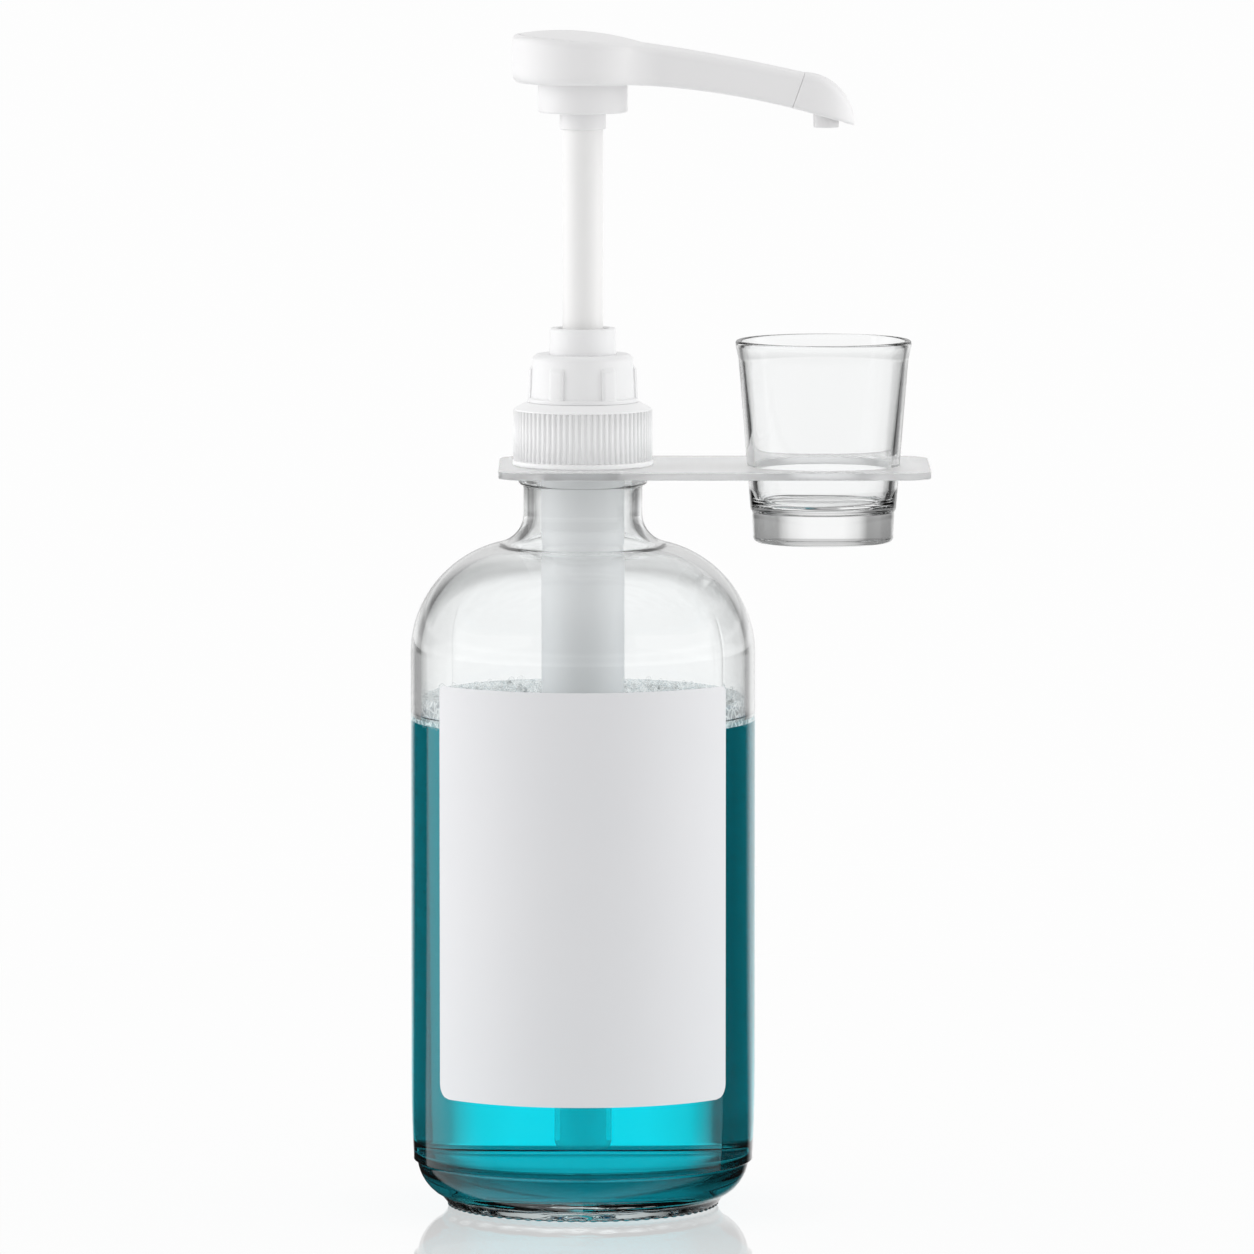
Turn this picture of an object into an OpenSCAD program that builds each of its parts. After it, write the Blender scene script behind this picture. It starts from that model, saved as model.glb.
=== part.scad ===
// Pump-top mouthwash bottle. A clear glass bottle holds the mouthwash, a screw
// closure clamps a lift pump and a clear cup plate on its neck, and a small
// glass cup hangs in the plate. Origin at the centre of the base, +Z up, in mm.
// The spout and the cup point along +X, and the label faces -Y.

/* [Bottle] */
// Outside diameter of the body
body_d = 94; // [86:1:102]
// Thickness of the glass wall
wall = 2.8; // [2:0.1:4]
// Height of the top of the straight side
side_h = 151.6; // [148:0.2:170]
// Radius of the heel's curve
heel_r = 9.5; // [7:0.5:12]
// Width of the flat ring that the bottle stands on
foot_w = 4; // [2:0.5:6]
// Height of the hollow under the base
push_up = 3; // [1:0.5:4]
// Thickness of the glass at the middle of the base
floor_t = 5.2; // [3:0.2:8]
// Radius of the shoulder's curve
shoulder_r = 31; // [27:0.5:34]
// Radius of the hollow curve between shoulder and neck
neck_curve_r = 8; // [5:0.5:10]
// Outside diameter of the neck
neck_d = 32.4; // [31:0.2:34]
// Height of the straight neck below its bead
neck_h = 7.8; // [4:0.2:12]
// Outside diameter of the bead that carries the cup plate
bead_d = 35.2; // [34.4:0.2:37]
// Height of the bead
bead_h = 3.5; // [2.6:0.1:5]
// Outside diameter of the finish between its threads
finish_d = 30.3; // [29.6:0.1:31]
// Height of the finish above the bead
finish_h = 12; // [11.6:0.2:14]
// Diameter of the bore through the neck
bore_d = 24.4; // [23.6:0.1:25.4]
// Height of the mouthwash in the bottle
fill_h = 140; // [60:1:150]

/* [Thread] */
// Outside diameter of the bottle's thread
thread_d = 32.6; // [32.2:0.1:33]
// Rise of the thread in one turn
thread_pitch = 4.233; // [4.1:0.001:4.5]
// Turns of thread on the bottle and in the closure
thread_turns = 1.25; // [1:0.05:1.35]
// Width of a thread at its root
thread_root_w = 2.2; // [1.8:0.1:2.4]
// Width of a thread at its crest
thread_crest_w = 1.1; // [0.8:0.1:1.3]

/* [Label] */
// Angle of the body that the label covers
label_deg = 110.4; // [60:0.4:160]
// Height of the label's lower edge
label_z = 32.9; // [20:0.1:50]
// Height of the label
label_h = 112.4; // [60:0.4:115]
// Thickness of the label
label_t = 0.15; // [0.1:0.05:0.4]
// Radius of the label's upper corners
label_top_r = 1.8; // [1:0.2:8]
// Radius of the label's lower corners
label_foot_r = 4; // [1:0.2:8]

/* [Cup plate] */
// Length of the plate
plate_l = 117.1; // [114:0.1:124]
// Width of the plate
plate_w = 57; // [52:1:64]
// Thickness of the plate
plate_t = 2; // [1.5:0.1:3]
// Radius of the plate's corners
plate_corner_r = 8; // [2:0.5:16]
// Distance from the neck's axis to the plate's near end
plate_back = 22.8; // [21:0.1:28]
// Distance from the neck's axis to the cup's axis
cup_x = 65.4; // [62:0.2:67]

/* [Cup] */
// Height of the cup
cup_h = 55; // [50:0.5:60]
// Diameter of the cup's base
cup_base_d = 38.2; // [34:0.2:40]
// Diameter of the cup just below its rim
cup_mouth_d = 47; // [44:0.2:47.6]
// Diameter of the cup's rolled rim
cup_rim_d = 48; // [47:0.2:50]
// Height of the cup's thick base
cup_floor_t = 9.2; // [4:0.2:16]
// Thickness of the cup's wall at the mouth
cup_wall = 1.3; // [1:0.1:2]
// Diameter of the cup's inside at its floor
cup_floor_d = 34.6; // [28:0.2:34.6]
// Depth of the cup's base below the plate's top
cup_drop = 21; // [16:0.5:28]
// Height of the waist turned into the cup's base
cup_waist_h = 8.6; // [4:0.2:10]
// Depth of that waist
cup_waist = 0.45; // [0.2:0.05:0.8]

/* [Closure] */
// Diameter of the closure at its foot
closure_d = 38.2; // [37.8:0.1:40]
// Diameter of the closure's top band
closure_top_d = 37.4; // [36.8:0.1:37.6]
// Diameter of the flat on top of the closure
closure_flat_d = 30.6; // [30.6:0.2:34]
// Thickness of the closure's top
closure_top_t = 4.6; // [3.5:0.1:5.5]
// Height of the sloped edge round the closure's top
closure_bevel = 1.9; // [1:0.1:2.4]
// Grip ribs round the closure
closure_ribs = 72; // [48:1:96]
// Depth of the grooves between the ribs
rib_depth = 0.35; // [0.2:0.05:0.5]
// Width of the plain band below the ribs
rib_margin = 1.5; // [1:0.1:3]
// Width of the plain band above the ribs
rib_top_margin = 0.4; // [0.2:0.1:2]
// Diameter of the closure's inside
closure_bore_d = 33.5; // [33.4:0.1:34.4]

/* [Pump body] */
// Travel of the pump
stroke = 53; // [30:1:56]
// Outside diameter of the pump housing
housing_d = 22.6; // [22:0.1:23]
// Inside diameter of the pump housing
cylinder_d = 20.2; // [19.4:0.1:20.4]
// Outside diameter of the housing's threadless top
housing_neck_d = 23; // [22.6:0.1:23.4]
// Diameter of the flange that hangs the pump in the neck
flange_d = 30.4; // [28:0.1:31]
// Thickness of that flange
flange_t = 1.6; // [1.2:0.1:2.4]
// Thickness of the neck gasket
gasket_t = 1; // [0.6:0.1:2]
// Depth of the socket that holds the dip tube
socket_h = 12; // [6:0.5:16]
// Outside diameter of the socket that holds the dip tube
socket_d = 14.6; // [14.2:0.2:17]
// Thickness of the floor of the pump housing
housing_floor_t = 3; // [2:0.5:5]
// Height of the ball cage's foot, on which the spring stands
cage_foot_h = 5; // [4:0.5:6.5]
// Outside diameter of the dip tube
tube_d = 11.7; // [10:0.1:12]
// Inside diameter of the dip tube
tube_bore_d = 9.5; // [7:0.1:9.6]
// Height of the tube's open end above the bottle's inside floor
tube_gap = 9.6; // [3:0.2:16]
// Depth of the notch cut across the tube's lower end
tube_notch = 2; // [0.5:0.5:4]

/* [Collar] */
// Height of the collar nut
nut_h = 12.8; // [11:0.2:15]
// Diameter of the collar nut at its top
nut_d = 27.3; // [26.6:0.1:28]
// Diameter over the nut's foot and lugs
nut_lug_d = 30.2; // [29.6:0.1:31]
// Height of the nut's foot ring
nut_foot_h = 0.9; // [0.6:0.1:1.4]
// Lugs round the nut
nut_lugs = 6; // [4:1:8]
// Angle that each lug covers
lug_deg = 17.6; // [12:0.4:24]
// Distance from the nut's top to the top of its lugs
lug_drop = 3; // [2:0.2:5]
// Thickness of the nut's top
nut_top_t = 2; // [1.4:0.1:2.6]
// Diameter of the stem guide
guide_d = 18.1; // [17:0.1:19]
// Height of the stem guide above the nut
guide_rise = 7.1; // [5:0.1:10]
// Diameter of the guide's sleeve inside the housing
sleeve_d = 15; // [14:0.2:16]
// Length of the guide's sleeve inside the housing
sleeve_h = 18; // [14:0.5:20]
// Depth of the recess round the stem at the guide's top
recess_h = 1.5; // [0.8:0.1:3]
// Height of the stem wiper
wiper_h = 2.4; // [1.4:0.1:3]
// Diameter of the stem wiper
wiper_d = 14.2; // [13.4:0.1:15]

/* [Piston and stem] */
// Outside diameter of the stem
stem_d = 11.1; // [10.5:0.1:11.5]
// Diameter of the stem's reduced foot
stem_foot_d = 9.2; // [8.8:0.1:9.6]
// Diameter of the passage through the stem
stem_bore_d = 7.2; // [6.6:0.1:7.4]
// Height of the piston
piston_h = 11.6; // [9:0.2:14]
// Thickness of the piston's skirt
piston_skirt_t = 1.2; // [0.8:0.1:1.6]
// Height of the stem's reduced foot inside the piston
stem_foot_h = 6; // [5:0.2:7]
// Diameter of the retainer below the piston
retainer_d = 14.8; // [13:0.2:15.2]
// Thickness of the retainer's flange
retainer_t = 2; // [1.4:0.1:3]
// Height of the retainer's spigot in the stem
spigot_h = 5; // [3.5:0.1:5.8]
// Depth that the stem goes up into the head
stem_seat_h = 10; // [6:0.2:11]

/* [Valves and spring] */
// Diameter of the inlet ball
inlet_ball_d = 6.4; // [6:0.1:7]
// Diameter of the hole below the inlet ball
inlet_hole_d = 4.8; // [4:0.1:5.4]
// Lift of the inlet ball
inlet_lift = 2; // [1:0.1:2.5]
// Diameter of the outlet ball
outlet_ball_d = 5.2; // [4.8:0.1:5.6]
// Diameter of the hole below the outlet ball
outlet_hole_d = 3.4; // [2.8:0.1:4]
// Lift of the outlet ball
outlet_lift = 1.5; // [0.8:0.1:2]
// Diameter of the spring's wire
wire_d = 1.2; // [0.9:0.1:1.4]
// Diameter of the spring, from wire centre to wire centre
spring_d = 17.2; // [16.8:0.1:17.6]
// Height of the spring when the pump is pressed
spring_min_h = 15.2; // [14.6:0.2:20]
// Turns of the spring between its two end turns
spring_turns = 8; // [6:1:8]

/* [Head] */
// Diameter of the head's pad
puck_d = 38.4; // [35:0.2:42]
// Height of the pad at the middle of its top
puck_h = 12; // [10:0.2:14]
// Angle at which the pad's top slopes to the spout
puck_slope = 4.6; // [0:0.2:5]
// Radius of the pad's lower edge
puck_edge_r = 2.4; // [1:0.1:3]
// Diameter of the hub below the pad
hub_d = 24.3; // [20:0.1:26]
// Height of the hub
hub_h = 8; // [7:0.2:11]
// Diameter of the socket ring below the hub
ring_d = 12.6; // [12.6:0.1:14]
// Height of the socket ring
ring_h = 4.6; // [3:0.1:7]
// Diameter of the cap let into the pad
cap_d = 34; // [30:0.2:34.6]
// Thickness of the cap at its edge
cap_edge_t = 1.2; // [0.8:0.1:1.6]
// Rise of the cap's dome above its edge
cap_rise = 2; // [1:0.1:4]
// Wall of the head's shell
head_wall = 2; // [1.4:0.1:2.4]

/* [Spout] */
// Reach of the spout's nozzle from the stem's axis
nozzle_x = 66; // [60:0.5:70]
// Distance from the nozzle's axis to the spout's front
beak = 7.7; // [5.6:0.1:9]
// Half width of the spout where it leaves the pad
spout_root_w = 12; // [9:0.2:13]
// Half width of the spout at its tip
spout_tip_w = 7; // [6:0.1:8]
// Angle of the spout's top where it leaves the pad
spout_top_deg = 8; // [6:0.5:11]
// Radius of the spout's top along its length
spout_top_bow_r = 526; // [450:1:900]
// Angle of the spout's underside where it leaves the hub
spout_under_deg = 2.3; // [1:0.1:5]
// Radius of the spout's underside along its length
spout_under_bow_r = 208; // [180:1:300]
// Distance along +X of the seam between spout and tip, at its top
seam_x = 60.1; // [55:0.1:60.4]
// Lean of that seam
seam_deg = 20; // [10:1:24]
// Outside diameter of the nozzle
nozzle_d = 6.9; // [6:0.1:8]
// Bore of the nozzle
nozzle_bore_d = 4.6; // [3:0.1:5]
// Length of the nozzle that shows below the tip
nozzle_drop = 3; // [1:0.1:5]
// Diameter of the passage along the spout
channel_d = 5.2; // [4:0.1:5.2]
// Diameter of the spigot that joins the tip to the spout
tip_spigot_d = 7.2; // [6.6:0.1:7.4]
// Length of that spigot
tip_spigot_l = 6; // [3:0.5:8]
// Wall of the tip beside its pocket
tip_wall = 1.3; // [0.9:0.1:1.6]

/* [Fits] */
// Radial gap of a running fit
run_gap = 0.05; // [0.02:0.01:0.1]
// Radial gap of a seated joint
seat_gap = 0.03; // [0.02:0.01:0.1]
// Gap that lets a part pass freely
free_gap = 0.3; // [0.2:0.05:0.5]

/* [Hidden] */
$fn = 96;

// Heights on the bottle
body_r = body_d / 2;
foot_r = body_r - heel_r;
neck_curve_x = neck_d / 2 + neck_curve_r;
shoulder_x = body_r - shoulder_r;
neck_z = side_h + leg(shoulder_r + neck_curve_r, neck_curve_x - shoulder_x);
bead_z = neck_z + neck_h;
plate_z = bead_z + bead_h;
finish_z = plate_z + finish_h;
floor_z = push_up + floor_t;
bore_r = bore_d / 2;
thread_lead = 2.6;
thread_z = finish_z - thread_lead - thread_pitch * thread_turns;

// Heights on the closure and the collar
plate_top_z = plate_z + plate_t;
flange_z = finish_z + gasket_t;
deck_z = flange_z + flange_t;
closure_top_z = deck_z + closure_top_t;
nut_z = closure_top_z + 0.2;
nut_top_z = nut_z + nut_h;
guide_flange_t = 1.2;
housing_top_z = nut_top_z - nut_top_t - guide_flange_t;
guide_top_z = nut_top_z + guide_rise;
wiper_z = guide_top_z - recess_h - wiper_h;
guide_bore_r = stem_d / 2 + run_gap;

// Heights inside the pump
piston_top_z = housing_top_z - sleeve_h - 0.2;
piston_z = piston_top_z - piston_h;
spring_z = piston_z - stroke - spring_min_h;
cylinder_z = spring_z - cage_foot_h;
tube_top_z = cylinder_z - housing_floor_t;
socket_z = tube_top_z - socket_h;
tube_z = floor_z + tube_gap;
cylinder_r = cylinder_d / 2;
ball_gap = 0.03;
inlet_z = cylinder_z + leg(inlet_ball_d / 2, inlet_hole_d / 2) + ball_gap;
cage_hole_r = inlet_ball_d / 2 - 1;
cage_roof_z = inlet_z + inlet_lift + leg(inlet_ball_d / 2, cage_hole_r) + ball_gap;
cage_r = inlet_ball_d / 2 + 2.6;
retainer_z = piston_z - retainer_t - 0.1;
stem_z = retainer_z + retainer_t;
spigot_z = stem_z + spigot_h;
outlet_z = spigot_z + leg(outlet_ball_d / 2, outlet_hole_d / 2) + ball_gap;
stop_r = outlet_ball_d / 2 - 0.6;
stop_z = outlet_z + outlet_lift + leg(outlet_ball_d / 2, stop_r) + ball_gap;

// Heights on the head
ring_z = guide_top_z + stroke + 1;
hub_z = ring_z + ring_h;
puck_z = hub_z + hub_h;
puck_top_z = puck_z + puck_h;
stem_top_z = ring_z + stem_seat_h;
puck_r = puck_d / 2;

// The cup hangs where its tapered wall fills the plate's hole
cup_z = plate_top_z - cup_drop;
cup_taper = (cup_mouth_d - cup_base_d) / 2 / cup_h;
cup_hole_r = cup_base_d / 2 + cup_taper * cup_drop + run_gap;

// The spout, in the plane of its length
spout_start_x = cap_d / 2;
spout_start_z = puck_top_z - puck_r * tan(puck_slope);
spout_under_x = hub_d / 2;
channel_r = channel_d / 2;
channel_start_z = puck_z + puck_h / 2;
seam_top_z = spout_top(seam_x);
channel_end_x = nozzle_x;
channel_end_z = (spout_top(seam_x) + spout_under(seam_x)) / 2 - 1;
channel_deg = atan2(channel_start_z - channel_end_z, channel_end_x);
nozzle_z = spout_under(nozzle_x) - nozzle_drop;
tip_pocket_z = spout_under(seam_x) + 1.6;

// The side of a right triangle with hypotenuse a and other side b
function leg(a, b) = sqrt(a * a - b * b);

// Height of the spout's top and of its underside at a distance x from the stem's axis
function spout_top(x) = spout_start_z - tan(spout_top_deg) * (x - spout_start_x)
    - pow(x - spout_start_x, 2) / 2 / spout_top_bow_r;
function spout_under(x) = puck_z - tan(spout_under_deg) * max(0, x - spout_under_x)
    - pow(max(0, x - spout_under_x), 2) / 2 / spout_under_bow_r;

// A ring or disc standing on height z
module ring(z, h, r_out, r_in = 0) {
    translate([0, 0, z])
        difference() {
            cylinder(h = h, r = r_out);
            if (r_in > 0)
                translate([0, 0, -1]) cylinder(h = h + 2, r = r_in);
        }
}

// Half outline of a vessel: heel, straight side, shoulder, hollow curve and neck
module vessel_2d(side_r, low_z, low_r, arc_r, curve_r, throat_r, top_z) {
    arc_x = side_r - arc_r;
    curve_x = throat_r + curve_r;
    curve_z = side_h + leg(arc_r + curve_r, curve_x - arc_x);
    share = arc_r / (arc_r + curve_r);
    touch_x = arc_x + (curve_x - arc_x) * share;
    touch_z = side_h + (curve_z - side_h) * share;
    translate([0, low_z]) square([side_r - low_r, low_r]);
    translate([side_r - low_r, low_z + low_r]) circle(low_r);
    translate([0, low_z + low_r]) square([side_r, side_h - low_z - low_r]);
    intersection() {
        translate([arc_x, side_h]) circle(arc_r);
        translate([0, side_h]) square([side_r, arc_r]);
    }
    translate([0, side_h]) square([arc_x, arc_r]);
    difference() {
        polygon([[0, touch_z], [touch_x, touch_z], [curve_x, curve_z], [0, curve_z]]);
        translate([curve_x, curve_z]) circle(curve_r);
    }
    translate([0, curve_z]) square([throat_r, top_z - curve_z]);
}

// Half outline of the space inside the glass, shrunk by a gap
module cavity_2d(gap = 0) {
    inner_r = body_r - wall - gap;
    dome_r = (inner_r * inner_r + push_up * push_up) / 2 / push_up;
    difference() {
        vessel_2d(inner_r, floor_z - push_up + gap, heel_r - wall / 2, shoulder_r - wall - gap,
            neck_curve_r + (neck_d - bore_d) / 2 + gap, bore_r - gap, finish_z + 1);
        translate([0, floor_z + gap - dome_r]) circle(dome_r, $fn = 360);
    }
}

// A ridge that winds up a cylinder, on the screw line that passes height z at angle 0.
// Its root is at root_r and its crest at crest_r, and it fades out at both ends.
module thread(z, start_deg, root_r, crest_r) {
    steps = round(thread_turns * 24);
    function crest(i) = let (fade = min(1, (min(i, steps - i) + 0.5) / 3))
        root_r + (crest_r - root_r) * fade;
    function at(i, r, dz) = let (a = start_deg + i * 360 * thread_turns / steps)
        [r * cos(a), r * sin(a), z + thread_pitch * a / 360 + dz];
    points = [for (i = [0:steps]) each [
        at(i, root_r, -thread_root_w / 2), at(i, crest(i), -thread_crest_w / 2),
        at(i, crest(i), thread_crest_w / 2), at(i, root_r, thread_root_w / 2)]];
    sides = [for (i = [0:steps - 1]) for (k = [0:3]) let (a = 4 * i + k, b = 4 * i + (k + 1) % 4)
        each [[a, a + 4, b + 4], [a, b + 4, b]]];
    ends = [[0, 1, 2], [0, 2, 3], [4 * steps + 2, 4 * steps + 1, 4 * steps],
        [4 * steps + 3, 4 * steps + 2, 4 * steps]];
    polyhedron(points, concat(sides, ends));
}

// Half outline of the pump's wet outside, from its open end up to the neck
module pump_2d(gap) {
    translate([0, tube_z - gap]) square([tube_d / 2 + gap, tube_top_z - tube_z]);
    translate([0, socket_z - gap]) square([socket_d / 2 + gap, tube_top_z - socket_z]);
    polygon([[0, tube_top_z - 2 - gap], [socket_d / 2 + gap, tube_top_z - 2 - gap],
        [housing_d / 2 + gap, cylinder_z - gap], [housing_d / 2 + gap, finish_z], [0, finish_z]]);
}

module bottle() {
    dome_r = (pow(foot_r - foot_w, 2) + push_up * push_up) / 2 / push_up;
    color("lightcyan") {
        rotate_extrude() {
            difference() {
                union() {
                    vessel_2d(body_r, 0, heel_r, shoulder_r, neck_curve_r, neck_d / 2, plate_z);
                    translate([0, bead_z]) square([bead_d / 2 - 1.2, bead_h]);
                    translate([bead_d / 2 - 1.2, bead_z + 1.2]) circle(1.2);
                    translate([bead_d / 2 - 1.2, bead_z + 1.2]) square([1.2, bead_h - 1.2]);
                    translate([0, plate_z]) square([finish_d / 2, finish_h]);
                }
                cavity_2d();
                translate([0, push_up - dome_r]) circle(dome_r, $fn = 360);
            }
        }
        thread(thread_z, 0, finish_d / 2 - 0.4, thread_d / 2);
    }
}

module mouthwash() {
    gap = 0.05;
    color("darkturquoise") {
        rotate_extrude() {
            difference() {
                intersection() {
                    cavity_2d(gap);
                    square([body_r, fill_h]);
                }
                pump_2d(free_gap);
            }
        }
        ring(tube_z - free_gap, tube_top_z - tube_z, tube_bore_d / 2 - free_gap);
    }
}

module label() {
    glue = 0.02;
    half = body_r * label_deg / 2 * PI / 180;
    steps = 6;
    // A corner's points on the unrolled label, from its flat edge to its side
    function corner(side, z, up, r) = [for (i = [0:steps]) let (a = 90 * i / steps)
        [side * (half - r + r * sin(a)), z + up * (r - r * cos(a))]];
    function turned(points) = [for (i = [len(points) - 1:-1:0]) points[i]];
    top = label_z + label_h;
    outline = concat(corner(1, label_z, 1, label_foot_r), turned(corner(1, top, -1, label_top_r)),
        corner(-1, top, -1, label_top_r), turned(corner(-1, label_z, 1, label_foot_r)));
    color("white")
        intersection() {
            ring(0, side_h, body_r + glue + label_t, body_r + glue);
            rotate([90, 0, 0])
                linear_extrude(height = body_d)
                    polygon([for (p = outline) [body_r * sin(p[0] / body_r * 180 / PI), p[1]]]);
        }
}

module cup_holder() {
    front = plate_l - plate_back;
    r = plate_corner_r;
    color("aliceblue")
        translate([0, 0, plate_z])
            difference() {
                linear_extrude(height = plate_t) {
                    translate([-plate_back + r, -plate_w / 2]) square([plate_l - 2 * r, plate_w]);
                    translate([-plate_back, -plate_w / 2 + r]) square([plate_l, plate_w - 2 * r]);
                    for (x = [-plate_back + r, front - r])
                        for (y = [-1, 1])
                            translate([x, y * (plate_w / 2 - r)]) circle(r);
                }
                translate([0, 0, -1]) cylinder(h = plate_t + 2, r = thread_d / 2 + free_gap);
                translate([cup_x, 0, -1]) cylinder(h = plate_t + 2, r = cup_hole_r);
            }
}

module cup() {
    base_r = cup_base_d / 2;
    mouth_r = cup_mouth_d / 2;
    bead_r = (cup_rim_d / 2 - mouth_r + cup_wall) / 2;
    bead_x = cup_rim_d / 2 - bead_r;
    color("azure")
        translate([cup_x, 0, cup_z])
            rotate_extrude()
                difference() {
                    union() {
                        polygon([[0, 0], [base_r - 1, 0], [base_r, 1],
                            [base_r + cup_taper * cup_waist_h - cup_waist, cup_waist_h],
                            [base_r + cup_taper * cup_waist_h, cup_waist_h],
                            [mouth_r, cup_h - bead_r], [0, cup_h - bead_r]]);
                        translate([bead_x, cup_h - bead_r]) circle(bead_r);
                    }
                    polygon([[0, cup_floor_t], [cup_floor_d / 2 - 3, cup_floor_t],
                        [cup_floor_d / 2 - 0.8, cup_floor_t + 0.9], [cup_floor_d / 2, cup_floor_t + 3],
                        [bead_x - bead_r, cup_h - bead_r], [bead_x - bead_r, cup_h + 1], [0, cup_h + 1]]);
                }
}

module closure() {
    foot_z = plate_top_z;
    band_z = closure_top_z - closure_bevel;
    rib_z = foot_z + rib_margin;
    rib_h = band_z - rib_top_margin - rib_z;
    inside_r = closure_bore_d / 2;
    step = 360 / closure_ribs;
    rib_r = (closure_d + closure_top_d) / 4;
    color("whitesmoke") {
        difference() {
            union() {
                ring(foot_z, rib_z - foot_z, closure_d / 2);
                translate([0, 0, rib_z])
                    linear_extrude(height = rib_h)
                        polygon([for (i = [0:closure_ribs - 1]) for (k = [0:3])
                            let (a = step * (i + [0.05, 0.15, 0.5, 0.95][k] + 0.05),
                                r = rib_r - (k < 2 ? (k == 0 ? rib_depth : 0) : (k == 2 ? 0 : rib_depth)))
                            [r * cos(a), r * sin(a)]]);
                ring(rib_z + rib_h, band_z - rib_z - rib_h, closure_top_d / 2);
                translate([0, 0, band_z])
                    cylinder(h = closure_bevel, r1 = closure_top_d / 2, r2 = closure_flat_d / 2);
            }
            ring(foot_z - 1, deck_z - foot_z + 1, inside_r);
            ring(foot_z, closure_top_z - foot_z + 1, housing_neck_d / 2 + 0.5);
        }
        // It lies half a pitch below the bottle's thread, on the same screw line
        thread(thread_z - thread_pitch / 2, 270, inside_r + 0.4, finish_d / 2 + 0.4);
    }
}

module neck_gasket() {
    color("gainsboro") ring(finish_z, gasket_t, finish_d / 2 - 0.1, bore_r);
}

module pump_housing() {
    color("white") {
        difference() {
            rotate_extrude() {
                difference() {
                    union() {
                        translate([0, socket_z]) square([socket_d / 2, tube_top_z - 2 - socket_z]);
                        polygon([[0, tube_top_z - 2], [socket_d / 2, tube_top_z - 2],
                            [housing_d / 2, cylinder_z], [housing_d / 2, flange_z], [0, flange_z]]);
                        translate([0, flange_z]) square([flange_d / 2, flange_t]);
                        translate([0, deck_z]) square([housing_neck_d / 2, housing_top_z - deck_z]);
                    }
                    translate([0, cylinder_z]) square([cylinder_r, housing_top_z - cylinder_z + 1]);
                    translate([0, tube_top_z - 1]) square([inlet_hole_d / 2, cylinder_z - tube_top_z + 2]);
                    translate([0, socket_z - 1]) square([tube_d / 2 + seat_gap, socket_h + 1]);
                }
            }
            // Vent that the piston uncovers when it goes down
            translate([0, 0, piston_z + piston_h / 2])
                rotate([90, 0, 0]) cylinder(h = housing_d, r = 0.8, $fn = 24);
        }
    }
}

module collar_nut() {
    inner_r = housing_neck_d / 2 + seat_gap;
    edge_r = 1.5;
    color("whitesmoke") {
        difference() {
            union() {
                rotate_extrude() {
                    polygon([[0, nut_z], [nut_d / 2 + 0.5, nut_z], [nut_d / 2, nut_top_z - edge_r],
                        [0, nut_top_z - edge_r]]);
                    translate([0, nut_top_z - edge_r]) square([nut_d / 2 - edge_r, edge_r]);
                    translate([nut_d / 2 - edge_r, nut_top_z - edge_r]) circle(edge_r);
                }
                ring(nut_z, nut_foot_h, nut_lug_d / 2);
                for (i = [0:nut_lugs - 1])
                    rotate([0, 0, i * 360 / nut_lugs - lug_deg / 2])
                        rotate_extrude(angle = lug_deg)
                            polygon([[nut_d / 2 - 1, nut_z + 0.2], [nut_lug_d / 2 - 0.1, nut_z + 0.2],
                                [nut_lug_d / 2 - 0.4, nut_top_z - lug_drop - 1.2],
                                [nut_d / 2 + 0.2, nut_top_z - lug_drop],
                                [nut_d / 2 - 1, nut_top_z - lug_drop]]);
            }
            ring(nut_z - 1, nut_h - nut_top_t + 1, inner_r);
            ring(nut_z, nut_h + 1, guide_d / 2 + 0.1);
        }
    }
}

module stem_guide() {
    color("white")
        difference() {
            union() {
                ring(housing_top_z - sleeve_h, sleeve_h, sleeve_d / 2);
                ring(housing_top_z, guide_flange_t, housing_neck_d / 2 - 0.1);
                ring(housing_top_z, guide_top_z - housing_top_z - 0.8, guide_d / 2);
                translate([0, 0, guide_top_z - 0.8])
                    cylinder(h = 0.8, r1 = guide_d / 2, r2 = guide_d / 2 - 0.5);
            }
            ring(housing_top_z - sleeve_h - 1, sleeve_h + guide_top_z, guide_bore_r);
            ring(wiper_z, recess_h + wiper_h + 1, wiper_d / 2 + seat_gap);
        }
}

module stem_wiper() {
    color("lightgrey") ring(wiper_z, wiper_h, wiper_d / 2, guide_bore_r);
}

module dip_tube() {
    color("ghostwhite")
        difference() {
            ring(tube_z, tube_top_z - tube_z, tube_d / 2, tube_bore_d / 2);
            translate([-tube_d, -1.5, tube_z - 1]) cube([2 * tube_d, 3, tube_notch + 1]);
        }
}

module inlet_ball() {
    color("silver") translate([0, 0, inlet_z]) sphere(d = inlet_ball_d);
}

module ball_cage() {
    windows = 4;
    color("white")
        difference() {
            union() {
                ring(cylinder_z, cage_foot_h, cylinder_r - seat_gap);
                ring(cylinder_z, cage_roof_z + 1.5 - cylinder_z, cage_r);
            }
            ring(cylinder_z - 1, cage_roof_z - cylinder_z + 1, inlet_ball_d / 2 + 1);
            ring(cylinder_z, cage_roof_z - cylinder_z + 3, cage_hole_r);
            for (i = [0:windows / 2 - 1])
                rotate([0, 0, i * 360 / windows])
                    translate([-cage_r - 1, -1.2, spring_z + 0.2])
                        cube([2 * cage_r + 2, 2.4, cage_roof_z - spring_z - 0.6]);
        }
}

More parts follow.
